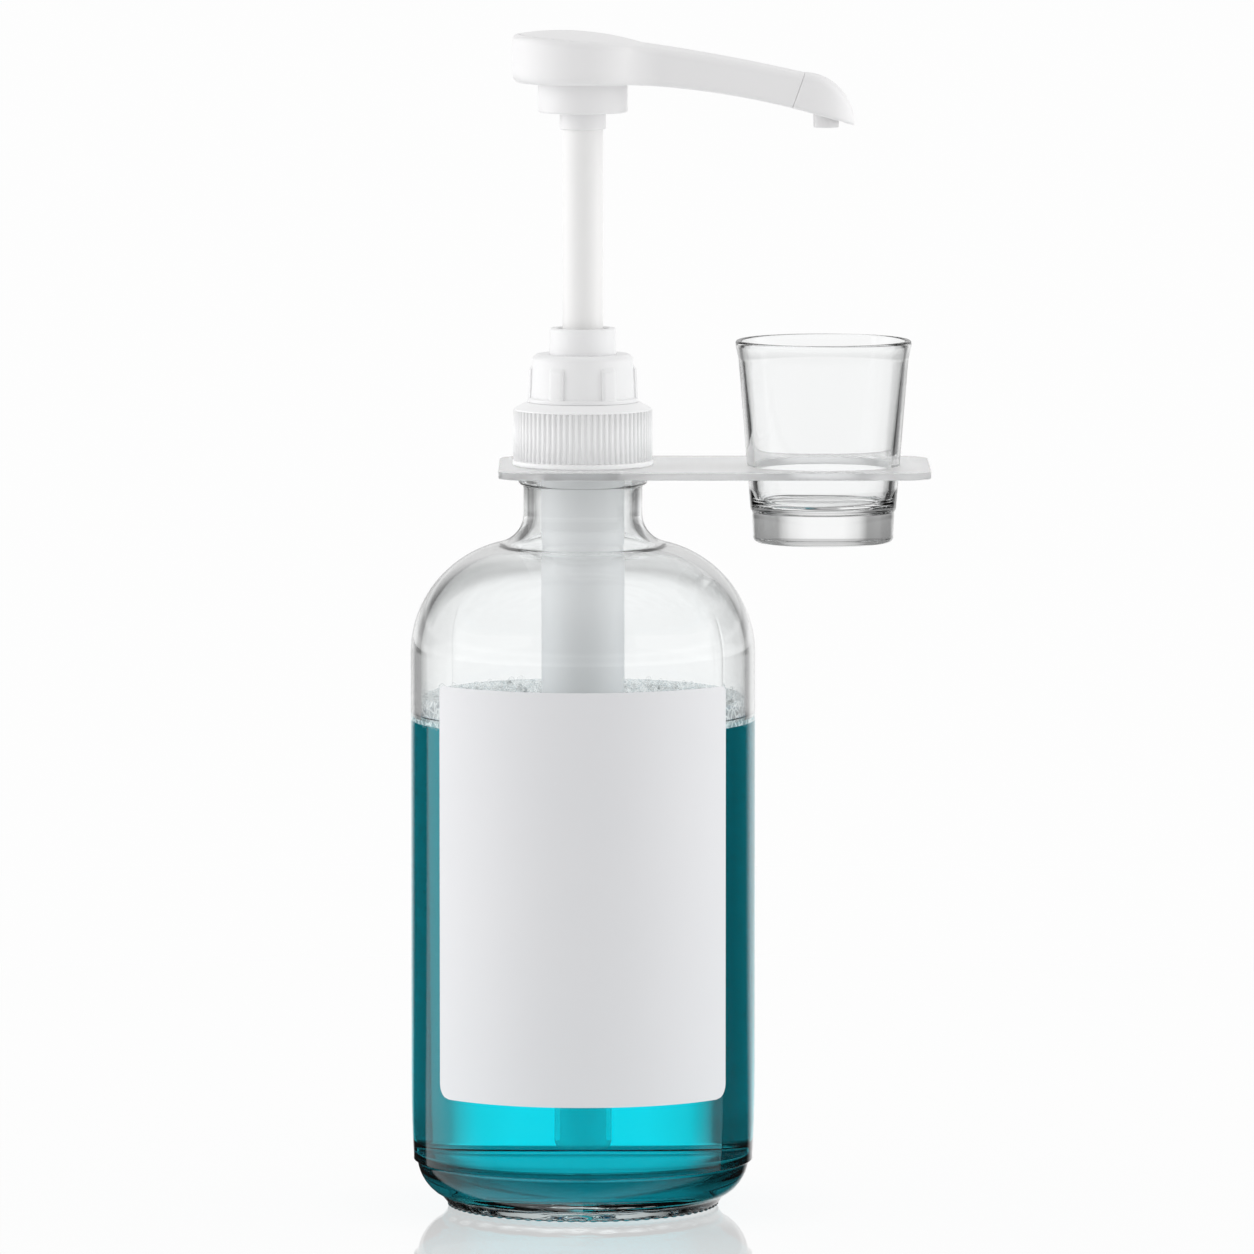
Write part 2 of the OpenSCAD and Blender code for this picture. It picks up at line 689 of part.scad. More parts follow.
// One unbroken helical wire. Its end turns lie close, and the turns between share the rest.
spring_h = piston_z - spring_z;
spring_seat = 0.08;
end_pitch = wire_d + 0.5;
mid_pitch = (spring_h - 2 * spring_seat - wire_d - 2 * end_pitch) / spring_turns;
spring_total = spring_turns + 2;
function spring_rise(t) = t < 1 ? t * end_pitch
    : t > spring_total - 1 ? end_pitch + spring_turns * mid_pitch + (t - spring_total + 1) * end_pitch
    : end_pitch + (t - 1) * mid_pitch;
function spring_point(t) = [spring_d / 2 * cos(360 * t), spring_d / 2 * sin(360 * t),
    spring_z + spring_seat + wire_d / 2 + spring_rise(t)];
spring_rings = 8;
spring_count = spring_total * spring_rings;
spring_gap = min([for (i = [0:spring_count]) for (j = [i + 6:min(i + 10, spring_count)])
    norm(spring_point(i / spring_rings) - spring_point(j / spring_rings))]) - wire_d;

module return_spring() {
    count = spring_count;
    sides = 6;
    echo(least_gap_between_turns = spring_gap);
    points = [for (i = [0:count]) let (t = i / spring_rings) for (k = [0:sides - 1])
        let (c = spring_point(t), a = 360 * k / sides, out = wire_d / 2 * cos(a))
        [c[0] + out * cos(360 * t), c[1] + out * sin(360 * t), c[2] + wire_d / 2 * sin(a)]];
    tube = [for (i = [0:count - 1]) for (k = [0:sides - 1])
        let (a = sides * i + k, b = sides * i + (k + 1) % sides)
        each [[a, b, b + sides], [a, b + sides, a + sides]]];
    ends = [[for (k = [sides - 1:-1:0]) k], [for (k = [0:sides - 1]) sides * count + k]];
    color("silver") polyhedron(points, concat(tube, ends));
}

module piston() {
    skirt_r = cylinder_r - run_gap;
    foot_bore_r = stem_foot_d / 2 + run_gap;
    web_z = piston_z + 2;
    color("gainsboro")
        difference() {
            ring(piston_z, piston_h, skirt_r);
            ring(web_z, piston_h, skirt_r - piston_skirt_t, guide_bore_r + 1.3);
            ring(piston_z - 1, piston_h + 2, foot_bore_r);
            ring(stem_z + stem_foot_h, piston_h, guide_bore_r);
        }
}

module piston_retainer() {
    color("white")
        difference() {
            union() {
                ring(retainer_z, retainer_t, retainer_d / 2);
                ring(stem_z, spigot_h, stem_bore_d / 2 - seat_gap);
            }
            ring(retainer_z - 1, retainer_t + spigot_h + 2, outlet_hole_d / 2);
        }
}

module stem() {
    color("white")
        difference() {
            union() {
                ring(stem_z, stem_foot_h, stem_foot_d / 2);
                ring(stem_z + stem_foot_h, stem_top_z - stem_z - stem_foot_h, stem_d / 2);
            }
            difference() {
                ring(stem_z - 1, stem_top_z - stem_z + 2, stem_bore_d / 2);
                ring(stop_z, 1.5, stem_bore_d / 2 + 1, stop_r);
            }
        }
}

module outlet_ball() {
    color("silver") translate([0, 0, outlet_z]) sphere(d = outlet_ball_d);
}

// Side view of the spout and its tip, X across and Z up
module spout_side_2d() {
    start_x = 0;
    bend_x = seam_x;
    front_x = nozzle_x + beak;
    steps = 12;
    nose = [for (i = [0:steps]) let (a = 90 - 90 * i / steps)
        [bend_x + (front_x - bend_x) * cos(a), nozzle_z + 1 + (spout_top(bend_x) - nozzle_z - 1) * sin(a)]];
    polygon(concat(
        [for (i = [0:steps]) let (x = start_x + (bend_x - start_x) * i / steps) [x, spout_top(x)]],
        nose,
        [for (i = [steps:-1:0]) let (x = start_x + (front_x - 0.6 - start_x) * i / steps)
            [x, spout_under(x)]]));
}

// Plan of the spout and its tip, from the stem's axis to the front
module spout_plan_2d() {
    front_x = nozzle_x + beak;
    polygon([[0, -spout_root_w - 1], [0, spout_root_w + 1], [spout_start_x, spout_root_w],
        [seam_x, spout_tip_w + 1], [nozzle_x, spout_tip_w], [front_x - 2, spout_tip_w * 0.72],
        [front_x + 0.1, spout_tip_w * 0.3], [front_x + 0.1, -spout_tip_w * 0.3],
        [front_x - 2, -spout_tip_w * 0.72], [nozzle_x, -spout_tip_w], [seam_x, -spout_tip_w - 1],
        [spout_start_x, -spout_root_w]]);
}

// The whole spout as one solid, up to its front
module spout_solid() {
    intersection() {
        rotate([90, 0, 0]) linear_extrude(height = puck_d, center = true) spout_side_2d();
        translate([0, 0, nozzle_z - 5]) linear_extrude(height = puck_top_z - nozzle_z + 10) spout_plan_2d();
    }
}

// Everything on the tip's side of the seam
module beyond_seam(shift) {
    translate([seam_x + shift, 0, seam_top_z])
        rotate([0, seam_deg, 0]) translate([0, -50, -100]) cube([100, 100, 200]);
}

// A straight run of passage, from the stem's axis towards the nozzle
module channel(from, to, r) {
    translate([0, 0, channel_start_z])
        rotate([0, 90 + channel_deg, 0]) translate([0, 0, from]) cylinder(h = to - from, r = r);
}

module pump_head() {
    seam_reach = (seam_x - 2) / cos(channel_deg);
    color("white") {
        difference() {
            union() {
                difference() {
                    union() {
                        puck_solid();
                        difference() {
                            spout_solid();
                            beyond_seam(0);
                        }
                    }
                    cap_place() ring(-cap_edge_t - 0.05, 20, cap_d / 2 + 0.1);
                    ring(puck_z + head_wall, puck_h, cap_d / 2 - 1.6, 7.6);
                }
                intersection() {
                    channel(0, puck_r, channel_r + 1.2);
                    ring(puck_z, puck_h, puck_r);
                }
                ring(puck_z, channel_start_z + channel_r - puck_z, 7.7);
                ring(hub_z, hub_h, hub_d / 2);
                ring(ring_z, ring_h, ring_d / 2);
            }
            ring(ring_z - 1, stem_seat_h + 1, stem_d / 2 + seat_gap);
            ring(ring_z, channel_start_z - ring_z, channel_r);
            ring(hub_z - 1, hub_h - 1.4, hub_d / 2 - head_wall, ring_d / 2 + 0.6);
            channel(0, seam_reach + 6, channel_r);
            channel(seam_reach - tip_spigot_l, seam_reach + 10, tip_spigot_d / 2 + seat_gap);
        }
    }
}

// The pad as one solid, with its sloped top
module puck_solid() {
    intersection() {
        rotate_extrude() {
            translate([0, puck_z]) square([puck_r - puck_edge_r, puck_edge_r]);
            translate([puck_r - puck_edge_r, puck_z + puck_edge_r]) circle(puck_edge_r);
            translate([0, puck_z + puck_edge_r]) square([puck_r, puck_h + 5]);
        }
        cap_place() translate([-50, -50, -50]) cube([100, 100, 50]);
    }
}

// Places what lies on the pad's sloped top
module cap_place() {
    translate([0, 0, puck_top_z]) rotate([0, puck_slope, 0]) children();
}

module head_cap() {
    r = cap_d / 2;
    dome_r = (r * r + cap_rise * cap_rise) / 2 / cap_rise;
    color("white")
        cap_place()
            rotate_extrude()
                intersection() {
                    translate([0, cap_rise - dome_r]) circle(dome_r, $fn = 360);
                    translate([0, -cap_edge_t]) square([r, cap_edge_t + cap_rise + 1]);
                }
}

module spout_tip() {
    seam_reach = (seam_x - 2) / cos(channel_deg);
    color("white") {
        difference() {
            union() {
                intersection() {
                    spout_solid();
                    beyond_seam(0);
                }
                channel(seam_reach - tip_spigot_l + 0.2, seam_reach + 4, tip_spigot_d / 2);
                translate([nozzle_x, 0, nozzle_z]) cylinder(h = channel_end_z - nozzle_z, r = nozzle_d / 2);
            }
            channel(0, nozzle_x / cos(channel_deg), channel_r - 0.6);
            translate([nozzle_x, 0, nozzle_z - 1])
                cylinder(h = channel_end_z - nozzle_z + 1, r = nozzle_bore_d / 2);
            // Pocket round the nozzle, open below
            difference() {
                translate([seam_x, tip_wall - spout_tip_w, nozzle_z - 1])
                    cube([nozzle_x + beak - 2 - tip_wall - seam_x, 2 * (spout_tip_w - tip_wall),
                        tip_pocket_z - nozzle_z + 1]);
                translate([nozzle_x, 0, nozzle_z - 2])
                    cylinder(h = tip_pocket_z, r = nozzle_d / 2);
            }
        }
    }
}

bottle();
mouthwash();
label();
cup_holder();
cup();
closure();
neck_gasket();
pump_housing();
collar_nut();
stem_guide();
stem_wiper();
dip_tube();
inlet_ball();
ball_cage();
return_spring();
piston();
piston_retainer();
stem();
outlet_ball();
pump_head();
head_cap();
spout_tip();
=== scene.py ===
import math

import bmesh
import bpy
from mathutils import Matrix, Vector


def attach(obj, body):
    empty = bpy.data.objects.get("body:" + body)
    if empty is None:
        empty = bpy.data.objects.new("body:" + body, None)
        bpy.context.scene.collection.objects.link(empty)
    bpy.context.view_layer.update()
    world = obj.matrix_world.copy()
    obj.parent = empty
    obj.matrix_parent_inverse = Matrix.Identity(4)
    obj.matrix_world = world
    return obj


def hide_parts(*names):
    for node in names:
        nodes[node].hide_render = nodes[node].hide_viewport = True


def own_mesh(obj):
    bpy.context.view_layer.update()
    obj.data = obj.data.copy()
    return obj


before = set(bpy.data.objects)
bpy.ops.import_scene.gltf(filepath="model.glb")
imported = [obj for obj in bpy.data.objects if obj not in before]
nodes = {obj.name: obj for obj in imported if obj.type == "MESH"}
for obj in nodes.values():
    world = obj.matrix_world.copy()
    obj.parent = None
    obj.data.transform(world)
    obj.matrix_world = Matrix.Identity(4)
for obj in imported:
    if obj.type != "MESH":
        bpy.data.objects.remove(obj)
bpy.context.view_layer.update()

MM = 0.001


# Camera: a long lens at the height of the pump, looking down by 5.6 degrees at the
# middle of the object, so that its lines stay nearly parallel.
def placed(name, data):
    """Makes an object of its data and puts it in the scene."""
    made = bpy.data.objects.new(name, data)
    bpy.context.scene.collection.objects.link(made)
    return made


def turn_to(made, target):
    """Turns a camera or a lamp towards a place."""
    made.rotation_euler = (target - made.location).to_track_quat("-Z", "Y").to_euler()


aim, stand_off = Vector((0.012, 0.0, 0.1586)), Vector((0.0, -3.450, 0.338))
camera = placed("camera", bpy.data.cameras.new("camera"))
camera.location = aim + stand_off
turn_to(camera, aim)
camera.data.sensor_width = 36.0
camera.data.lens = 365.4
camera.data.clip_end = 30.0
bpy.context.scene.camera = camera
bpy.context.scene.view_settings.view_transform = "Standard"


# Studio: a white surround with a soft lamp on each side. What glass shows of it has a
# bright field behind the object and darker gaps beside that, as a bottle is lit in a
# studio so that its edges show. The floor is white acrylic with a faint reflection.
def node(tree, kind, inputs=None, **settings):
    """Adds a node, sets its properties, and fills its inputs with values or links."""
    made = tree.nodes.new(kind)
    for key, value in settings.items():
        setattr(made, key, value)
    for key, value in (inputs or {}).items():
        if isinstance(value, bpy.types.NodeSocket):
            tree.links.new(value, made.inputs[key])
        else:
            made.inputs[key].default_value = value
    return made


def out(tree, kind, inputs=None, **settings):
    """Adds a node and hands out its first output."""
    return node(tree, kind, inputs, **settings).outputs[0]


def maths(tree, operation, a, b):
    return out(tree, "ShaderNodeMath", {0: a, 1: b}, operation=operation)


def blend(tree, share, a, b, how="MIX"):
    """Two colours: b by its share, and a for the rest."""
    return node(tree, "ShaderNodeMix", {0: share, 6: a, 7: b}, data_type="RGBA", blend_type=how).outputs[2]


def mixed(tree, share, a, b):
    """Two shaders: b by its share, and a for the rest."""
    return out(tree, "ShaderNodeMixShader", {0: share, 1: a, 2: b})


def grey(level):
    return (level, level, level, 1.0)


def levels(tree, value, stops):
    """Grey levels along a value, through stops of (value, level)."""
    low, high = stops[0][0], stops[-1][0]
    share = out(tree, "ShaderNodeMapRange", {"Value": value, "From Min": low, "From Max": high})
    ramp = node(tree, "ShaderNodeValToRGB", {0: share})
    elements = ramp.color_ramp.elements
    while len(elements) > 1:
        elements.remove(elements[-1])
    for i, (at, level) in enumerate(stops):
        place = (at - low) / (high - low)
        stop = elements[0] if i == 0 else elements.new(place)
        stop.position = place
        stop.color = grey(level)
    return ramp.outputs[0]


def by_bearing(tree, direction, stops, opened=1.0):
    """Brightness by compass bearing. Stops are (degrees to the right of straight behind,
    brightness). A factor that opens the bearing makes up for what stands off the centre."""
    parts = node(tree, "ShaderNodeSeparateXYZ", {0: direction}).outputs
    bearing = maths(tree, "MULTIPLY", maths(tree, "ARCTAN2", parts["X"], parts["Y"]), opened)
    return levels(tree, bearing, [(math.radians(degrees), level) for degrees, level in stops])


def new_material(name):
    made = bpy.data.materials.new(name)
    made.use_nodes = True
    made.node_tree.nodes.clear()
    return made, made.node_tree


def on_object(tree):
    """The place on the object, in metres."""
    return node(tree, "ShaderNodeTexCoord").outputs["Object"]


behind_glass = [(-180, 1.0), (-80, 1.0), (-72, 0.1), (-62, 0.055), (-40, 0.05), (-30, 0.1), (-27, 0.38),
                (-20, 0.8), (-10, 1.0), (10, 1.0), (20, 0.86), (26, 0.6), (30, 0.36), (38, 0.27), (42, 0.24),
                (43.5, 0.07), (62, 0.05), (72, 0.1), (80, 1.0), (180, 1.0)]
in_mirrors = [(-180, 0.03), (-100, 0.06), (-84, 0.45), (-70, 0.85), (-53, 0.9), (-51, 0.02), (-28, 0.02),
              (-16, 0.92), (30, 0.92), (40, 0.02), (69, 0.03), (74, 0.6), (82, 0.55), (94, 0.06), (180, 0.03)]
white, past_flags, from_above, room = grey(0.985), grey(0.36), grey(0.5), grey(0.78)
world = bpy.data.worlds.new("studio")
bpy.context.scene.world = world
world.use_nodes = True
tree = world.node_tree
tree.nodes.clear()
way = node(tree, "ShaderNodeTexCoord").outputs["Generated"]
rise = node(tree, "ShaderNodeSeparateXYZ", {0: way}).outputs["Z"]
path = node(tree, "ShaderNodeLightPath").outputs
flags = blend(tree, 1.0, by_bearing(tree, way, behind_glass), past_flags, "LIGHTEN")
field = blend(tree, 1.0, flags, levels(tree, rise, [(-0.01, 1.0), (0.05, 0.66), (1.0, 0.66)]), "MULTIPLY")
backdrop = levels(tree, rise, [(-0.01, 0.985), (0.025, 0.6), (0.095, 0.6), (0.125, 0.985), (1.0, 0.985)])
high = levels(tree, rise, [(0.13, 0.0), (0.2, 1.0), (0.6, 1.0)])
overhead = levels(tree, rise, [(0.6, 0.0), (0.9, 1.0)])
studio = blend(tree, overhead, by_bearing(tree, way, in_mirrors), from_above)
seen = blend(tree, path["Is Glossy Ray"], room, blend(tree, high, backdrop, studio))
seen = blend(tree, path["Is Transmission Ray"], seen, field)
seen = blend(tree, path["Is Camera Ray"], seen, white)
node(tree, "ShaderNodeOutputWorld", {0: out(tree, "ShaderNodeBackground", {0: seen})})

for side, x, power in (("left", -1.2, 7.4), ("right", 1.2, 6.4)):
    lamp = bpy.data.lights.new(side + "_softbox", "AREA")
    lamp.shape = "RECTANGLE"
    lamp.size, lamp.size_y = 0.9, 1.1
    lamp.energy = power
    softbox = placed(side + "_softbox", lamp)
    softbox.location = (x, 0.05, 0.42)
    turn_to(softbox, Vector((0, 0, 0.2)))
    softbox.visible_camera = softbox.visible_glossy = softbox.visible_transmission = False

floor_r, floor_z = 3.2, -0.0002
floor_mesh = bpy.data.meshes.new("floor")
bm = bmesh.new()
bmesh.ops.create_circle(bm, cap_ends=True, segments=96, radius=floor_r)
bmesh.ops.translate(bm, verts=bm.verts, vec=(0, 0, floor_z))
bm.to_mesh(floor_mesh)
bm.free()
floor = placed("floor", floor_mesh)
white_acrylic, tree = new_material("floor_acrylic")
spot = on_object(tree)
path = node(tree, "ShaderNodeLightPath").outputs
reach = node(tree, "ShaderNodeVectorMath", {0: spot}, operation="LENGTH").outputs["Value"]
near = levels(tree, reach, [(0.0, 0.16), (0.05, 0.12), (0.075, 0.05), (0.3, 0.02), (0.8, 0.0)])
shine = levels(tree, reach, [(0.0, 0.38), (0.06, 0.38), (0.2, 0.22), (0.6, 0.0)])
glow = out(tree, "ShaderNodeEmission", {0: white})
matt = out(tree, "ShaderNodeBsdfDiffuse", {0: grey(0.9)})
mirror = out(tree, "ShaderNodeBsdfGlossy", {"Color": grey(1.0), "Roughness": 0.03})
shown = mixed(tree, shine, mixed(tree, near, glow, matt), mirror)
# Where glass and mirrors show the floor, its tones follow the studio's. The bearings are
# opened or narrowed by how far off the centre the surface stands that shows them, in m.
glass_off, mirror_off = 0.11, 0.026
opened = maths(tree, "ADD", maths(tree, "DIVIDE", glass_off, reach), 1.0)
narrowed = maths(tree, "SUBTRACT", 1.0, maths(tree, "DIVIDE", mirror_off, reach))
# Painted shadow: seen through glass, the floor glows darker within about 0.13 m of the bottle.
painted_shadow = levels(tree, reach, [(0.0, 0.16), (0.042, 0.2), (0.06, 0.5), (0.118, 0.5), (0.132, 1.0)])
far = levels(tree, reach, [(0.0, 0.0), (1.27, 0.0), (1.34, 0.5), (1.75, 0.5), (1.9, 0.25), (floor_r, 0.25)])
flags = blend(tree, 1.0, by_bearing(tree, spot, behind_glass, opened), far, "LIGHTEN")
through = out(tree, "ShaderNodeEmission", {0: flags, 1: painted_shadow})
mirrored = out(tree, "ShaderNodeEmission", {0: by_bearing(tree, spot, in_mirrors, narrowed)})
lit = mixed(tree, path["Is Glossy Ray"], matt, mirrored)
lit = mixed(tree, path["Is Transmission Ray"], lit, through)
lit = mixed(tree, path["Is Camera Ray"], lit, shown)
node(tree, "ShaderNodeOutputMaterial", {0: lit})
floor_mesh.materials.append(white_acrylic)


# Bottle: clear flint glass, blown in a two-part mould. It has a hollow base with a
# knurled foot ring, a faint parting line up each side and round the heel, and a screw
# finish above the bead that carries the cup plate.
def arc(x, z, r, start, end, steps):
    """Points (r, z) on an arc, its angles in degrees from +X."""
    turns = [math.radians(start + (end - start) * i / steps) for i in range(steps + 1)]
    return [(x + r * math.cos(a), z + r * math.sin(a)) for a in turns]


def rebuilt(mesh, *others, outwards=False):
    """Takes other meshes into a mesh, and turns all faces outwards if asked."""
    bm = bmesh.new()
    for each in (mesh, *others):
        bm.from_mesh(each)
    if outwards:
        bmesh.ops.recalc_face_normals(bm, faces=bm.faces)
    bm.to_mesh(mesh)
    bm.free()


def smoothed(mesh, sharp=38.0):
    """Smooth shading, with edges of more than an angle in degrees kept sharp."""
    mesh.shade_smooth()
    mesh.set_sharp_from_angle(angle=math.radians(sharp))


def finished(name, mesh, sharp=38.0):
    """Makes an object of a closed mesh: faces outwards, smooth, with its real edges kept sharp."""
    rebuilt(mesh, outwards=True)
    smoothed(mesh, sharp)
    return placed(name, mesh)


def turned(name, outline, around=128, loop=False, x=0.0, extra=()):
    """Turns an outline of (r, z) in mm round the Z axis at x. A loop is a ring's section; any
    other outline starts and ends on the axis. Extra angles, in degrees, join the even ones."""
    angles = sorted(set([360.0 * i / around for i in range(around)] + [a % 360.0 for a in extra]))
    points, rings = [], []
    for r, z in outline:
        if r < 1e-6:
            rings.append([len(points)] * len(angles))
            points.append((x * MM, 0.0, z * MM))
        else:
            rings.append(range(len(points), len(points) + len(angles)))
            points += [((x + r * math.cos(math.radians(a))) * MM, r * math.sin(math.radians(a)) * MM,
                        z * MM) for a in angles]
    faces = []
    for low, high in list(zip(rings, rings[1:])) + ([(rings[-1], rings[0])] if loop else []):
        for i in range(len(angles)):
            k = (i + 1) % len(angles)
            corners = [low[i], low[k], high[k], high[i]]
            corners = [c for j, c in enumerate(corners) if c != corners[j - 1]]
            if len(corners) > 2:
                faces.append(corners)
    mesh = bpy.data.meshes.new(name)
    mesh.from_pydata(points, [], faces)
    return finished(name, mesh)


def rounded(corners, loop=False, steps=5):
    """An outline through corners (r, z, fillet), with an arc at each corner that has a fillet."""
    line = []
    for i, corner in enumerate(corners):
        fillet = corner[2] if len(corner) > 2 else 0.0
        here = Vector(corner[:2])
        if fillet <= 0 or (not loop and i in (0, len(corners) - 1)):
            line.append(tuple(here))
            continue
        before = (Vector(corners[i - 1][:2]) - here).normalized()
        after = (Vector(corners[(i + 1) % len(corners)][:2]) - here).normalized()
        half = before.angle(after) / 2
        if half > math.radians(89):
            line.append(tuple(here))
            continue
        reach = fillet / math.tan(half)
        centre = here + (before + after).normalized() * fillet / math.sin(half)
        first, last = here + before * reach - centre, here + after * reach - centre
        sweep = first.angle_signed(last)
        for k in range(steps + 1):
            a = -sweep * k / steps
            line.append((centre.x + first.x * math.cos(a) - first.y * math.sin(a),
                         centre.y + first.x * math.sin(a) + first.y * math.cos(a)))
    return line


def open_to_lamps(tree, shader, colour):
    """Lets shadow and diffuse rays straight through, so that lamps reach what is behind."""
    path = node(tree, "ShaderNodeLightPath").outputs
    lamps = maths(tree, "MAXIMUM", path["Is Shadow Ray"], path["Is Diffuse Ray"])
    return mixed(tree, lamps, shader, out(tree, "ShaderNodeBsdfTransparent", {0: colour}))


def clear_glass(name, tint, ior, waves, height, rough=0.0, frost=0.0):
    """Clear glass with faint waves in its surface. A cut or rubbed surface scatters a part
    of the light (frost)."""
    made, tree = new_material(name)
    stretched = out(tree, "ShaderNodeMapping", {0: on_object(tree), "Scale": (1.0, 1.0, 0.45)})
    wave = out(tree, "ShaderNodeTexNoise", {"Vector": stretched, "Scale": waves, "Detail": 3.0, "Roughness": 0.4})
    bump = out(tree, "ShaderNodeBump", {"Height": wave, "Strength": 1.0, "Distance": height})
    glass = out(tree, "ShaderNodeBsdfPrincipled", {"Base Color": tint, "Roughness": rough, "IOR": ior,
                                                   "Transmission Weight": 1.0, "Normal": bump})
    shader = open_to_lamps(tree, glass, (0.985, 0.988, 0.987, 1.0))
    if frost:
        shader = mixed(tree, frost, shader, out(tree, "ShaderNodeBsdfDiffuse", {0: grey(0.93)}))
    node(tree, "ShaderNodeOutputMaterial", {0: shader})
    return made


def result_of(made):
    """The mesh that an object's modifiers or curve work out to."""
    bpy.context.view_layer.update()
    return bpy.data.meshes.new_from_object(made.evaluated_get(bpy.context.evaluated_depsgraph_get()))


def grown(made, tree_name, build, values):
    """Runs a Geometry Nodes tree on an object and keeps the result as its plain mesh.
    build(tree, given) returns the geometry to hand out, and values are the tree's named inputs."""
    tree = bpy.data.node_groups.new(tree_name, "GeometryNodeTree")
    tree.interface.new_socket("Geometry", in_out="INPUT", socket_type="NodeSocketGeometry")
    sockets = {}
    for key, value in values.items():
        kind = {int: "NodeSocketInt", float: "NodeSocketFloat"}.get(type(value), "NodeSocketObject")
        sockets[key] = tree.interface.new_socket(key, in_out="INPUT", socket_type=kind)
    tree.interface.new_socket("Geometry", in_out="OUTPUT", socket_type="NodeSocketGeometry")
    material = made.data.materials[0]
    whole = out(tree, "GeometryNodeRealizeInstances", {0: build(tree, node(tree, "NodeGroupInput").outputs)})
    node(tree, "NodeGroupOutput", {0: out(tree, "GeometryNodeSetMaterial", {0: whole, "Material": material})})
    modifier = made.modifiers.new(tree_name, "NODES")
    modifier.node_group = tree
    for key, value in values.items():
        modifier[sockets[key].identifier] = value
    mesh = result_of(made)
    mesh.materials.clear()
    mesh.materials.append(material)
    made.modifiers.remove(modifier)
    made.data = mesh


def ring_of(tree, count, radius, lift, piece, towards, size):
    """Sets a piece on each point of a level ring, with its X axis turned the given way."""
    circle = out(tree, "GeometryNodeMeshCircle", {"Vertices": count, "Radius": radius})
    raised = out(tree, "GeometryNodeSetPosition", {0: circle, "Offset": (0.0, 0.0, lift)})
    facing = out(tree, "FunctionNodeAlignRotationToVector", {"Vector": towards}, axis="X")
    pieces = out(tree, "GeometryNodeInstanceOnPoints", {0: raised, "Instance": piece, "Rotation": facing,
                                                        "Scale": size})
    return out(tree, "GeometryNodeSetShadeSmooth", {0: pieces})


def added(tree, given, pieces):
    """The mesh that comes in, with pieces joined to it."""
    both = node(tree, "GeometryNodeJoinGeometry", {0: given[0]})
    tree.links.new(pieces, both.inputs[0])
    return both.outputs[0]


def knurls(tree, given):
    bead = out(tree, "GeometryNodeMeshIcoSphere", {"Radius": given["Knurl size"], "Subdivisions": 2})
    beads = ring_of(tree, given["Knurls"], given["Ring radius"], 0.0007, bead,
                    out(tree, "GeometryNodeInputPosition"), (0.6, 1.6, 0.6))
    return added(tree, given, beads)


# Two arcs join the side to the neck: the shoulder's, and the hollow one under the bead.
side_r, shoulder_x, shoulder_z = 46.93, 16.0, 151.6
hollow_x, hollow_r, centres_apart = 24.2, 8.0, 39.0
hollow_z = shoulder_z + math.sqrt(centres_apart ** 2 - 8.2 ** 2)
touch = math.degrees(math.atan2(hollow_z - shoulder_z, 8.2))
neck_r, lip_z = 15.15, 213.028
outside = (
    [(33.2 * i / 12, 3.0 * (1 - (i / 12) ** 2)) for i in range(13)]
    + [(33.7, 0.24), (34.2, 0.2), (35.9, 0.2), (36.4, 0.35), (36.9, 0.75), (37.4, 1.3), (38.0, 2.05)]
    + arc(33.0, 14.0, 12.35, -62, -8, 30)
    + [(45.5, 12.7), (46.05, 12.85), (46.3, 13.05), (46.25, 13.4), (46.3, 15.0), (46.52, 19.0), (46.72, 24.0),
       (46.86, 30.0), (side_r, 38.0)]
    + [(side_r, 38.0 + (shoulder_z - 38.0) * i / 20) for i in range(1, 21)]
    + arc(shoulder_x, shoulder_z, side_r - shoulder_x, 0, touch, 40)[1:]
    + arc(hollow_x, hollow_z, hollow_r, 180 + touch, 180, 22)[1:]
    + [(16.2, hollow_z + 3.5), (16.2, 197.0)]
    + rounded([(16.2, 197.2), (16.2, 197.53, 0.3), (17.6, 197.8, 1.1), (17.6, 201.0, 0.5), (neck_r, 201.03, 0.3),
               (neck_r, 202.0)])[1:]
    + [(neck_r, 202.0 + 9.6 * i / 28) for i in range(1, 29)]
    + arc(neck_r - 1.0, lip_z - 1.0, 1.0, 0, 90, 6)
)
inside = (
    arc(13.2, lip_z - 1.0, 1.0, 90, 180, 6)
    + [(12.2, 205.0), (12.2, 203.4), (12.5, 202.4), (13.1, 200.4), (13.4, 199.0), (13.4, hollow_z)]
    + arc(hollow_x, hollow_z, 10.8, 180, 180 + touch, 24)[1:]
    + arc(shoulder_x, shoulder_z, 28.2, touch, 0, 40)[1:]
    + [(44.2, shoulder_z - 136.4 * i / 24) for i in range(1, 25)]
    + arc(41.2, 15.2, 3.0, 0, -42, 12)[1:]
    + arc(36.11, 11.05, 4.0, -42, -84, 12)
    + [(32.0, 7.3), (24.0, 7.7), (16.0, 8.1), (8.0, 8.5), (4.4, 8.7), (3.2, 9.0), (1.6, 9.6), (0.0, 9.7)]
)
seams, seam_half, seam_rise = (-36.0, 144.0), 0.3, 0.06
bottle = turned("glass_bottle", outside + inside, around=240,
                extra=[s + d for s in seams for d in (-0.5, -0.2, 0.2, 0.5)])
thread_start, thread_pitch, thread_end = 205.137, 4.233, 450.0
thread_half, thread_flank, thread_rise, run_out = 1.15, 0.6, 1.15, 20.0
foot_z, foot_r = 5.5, 32.0
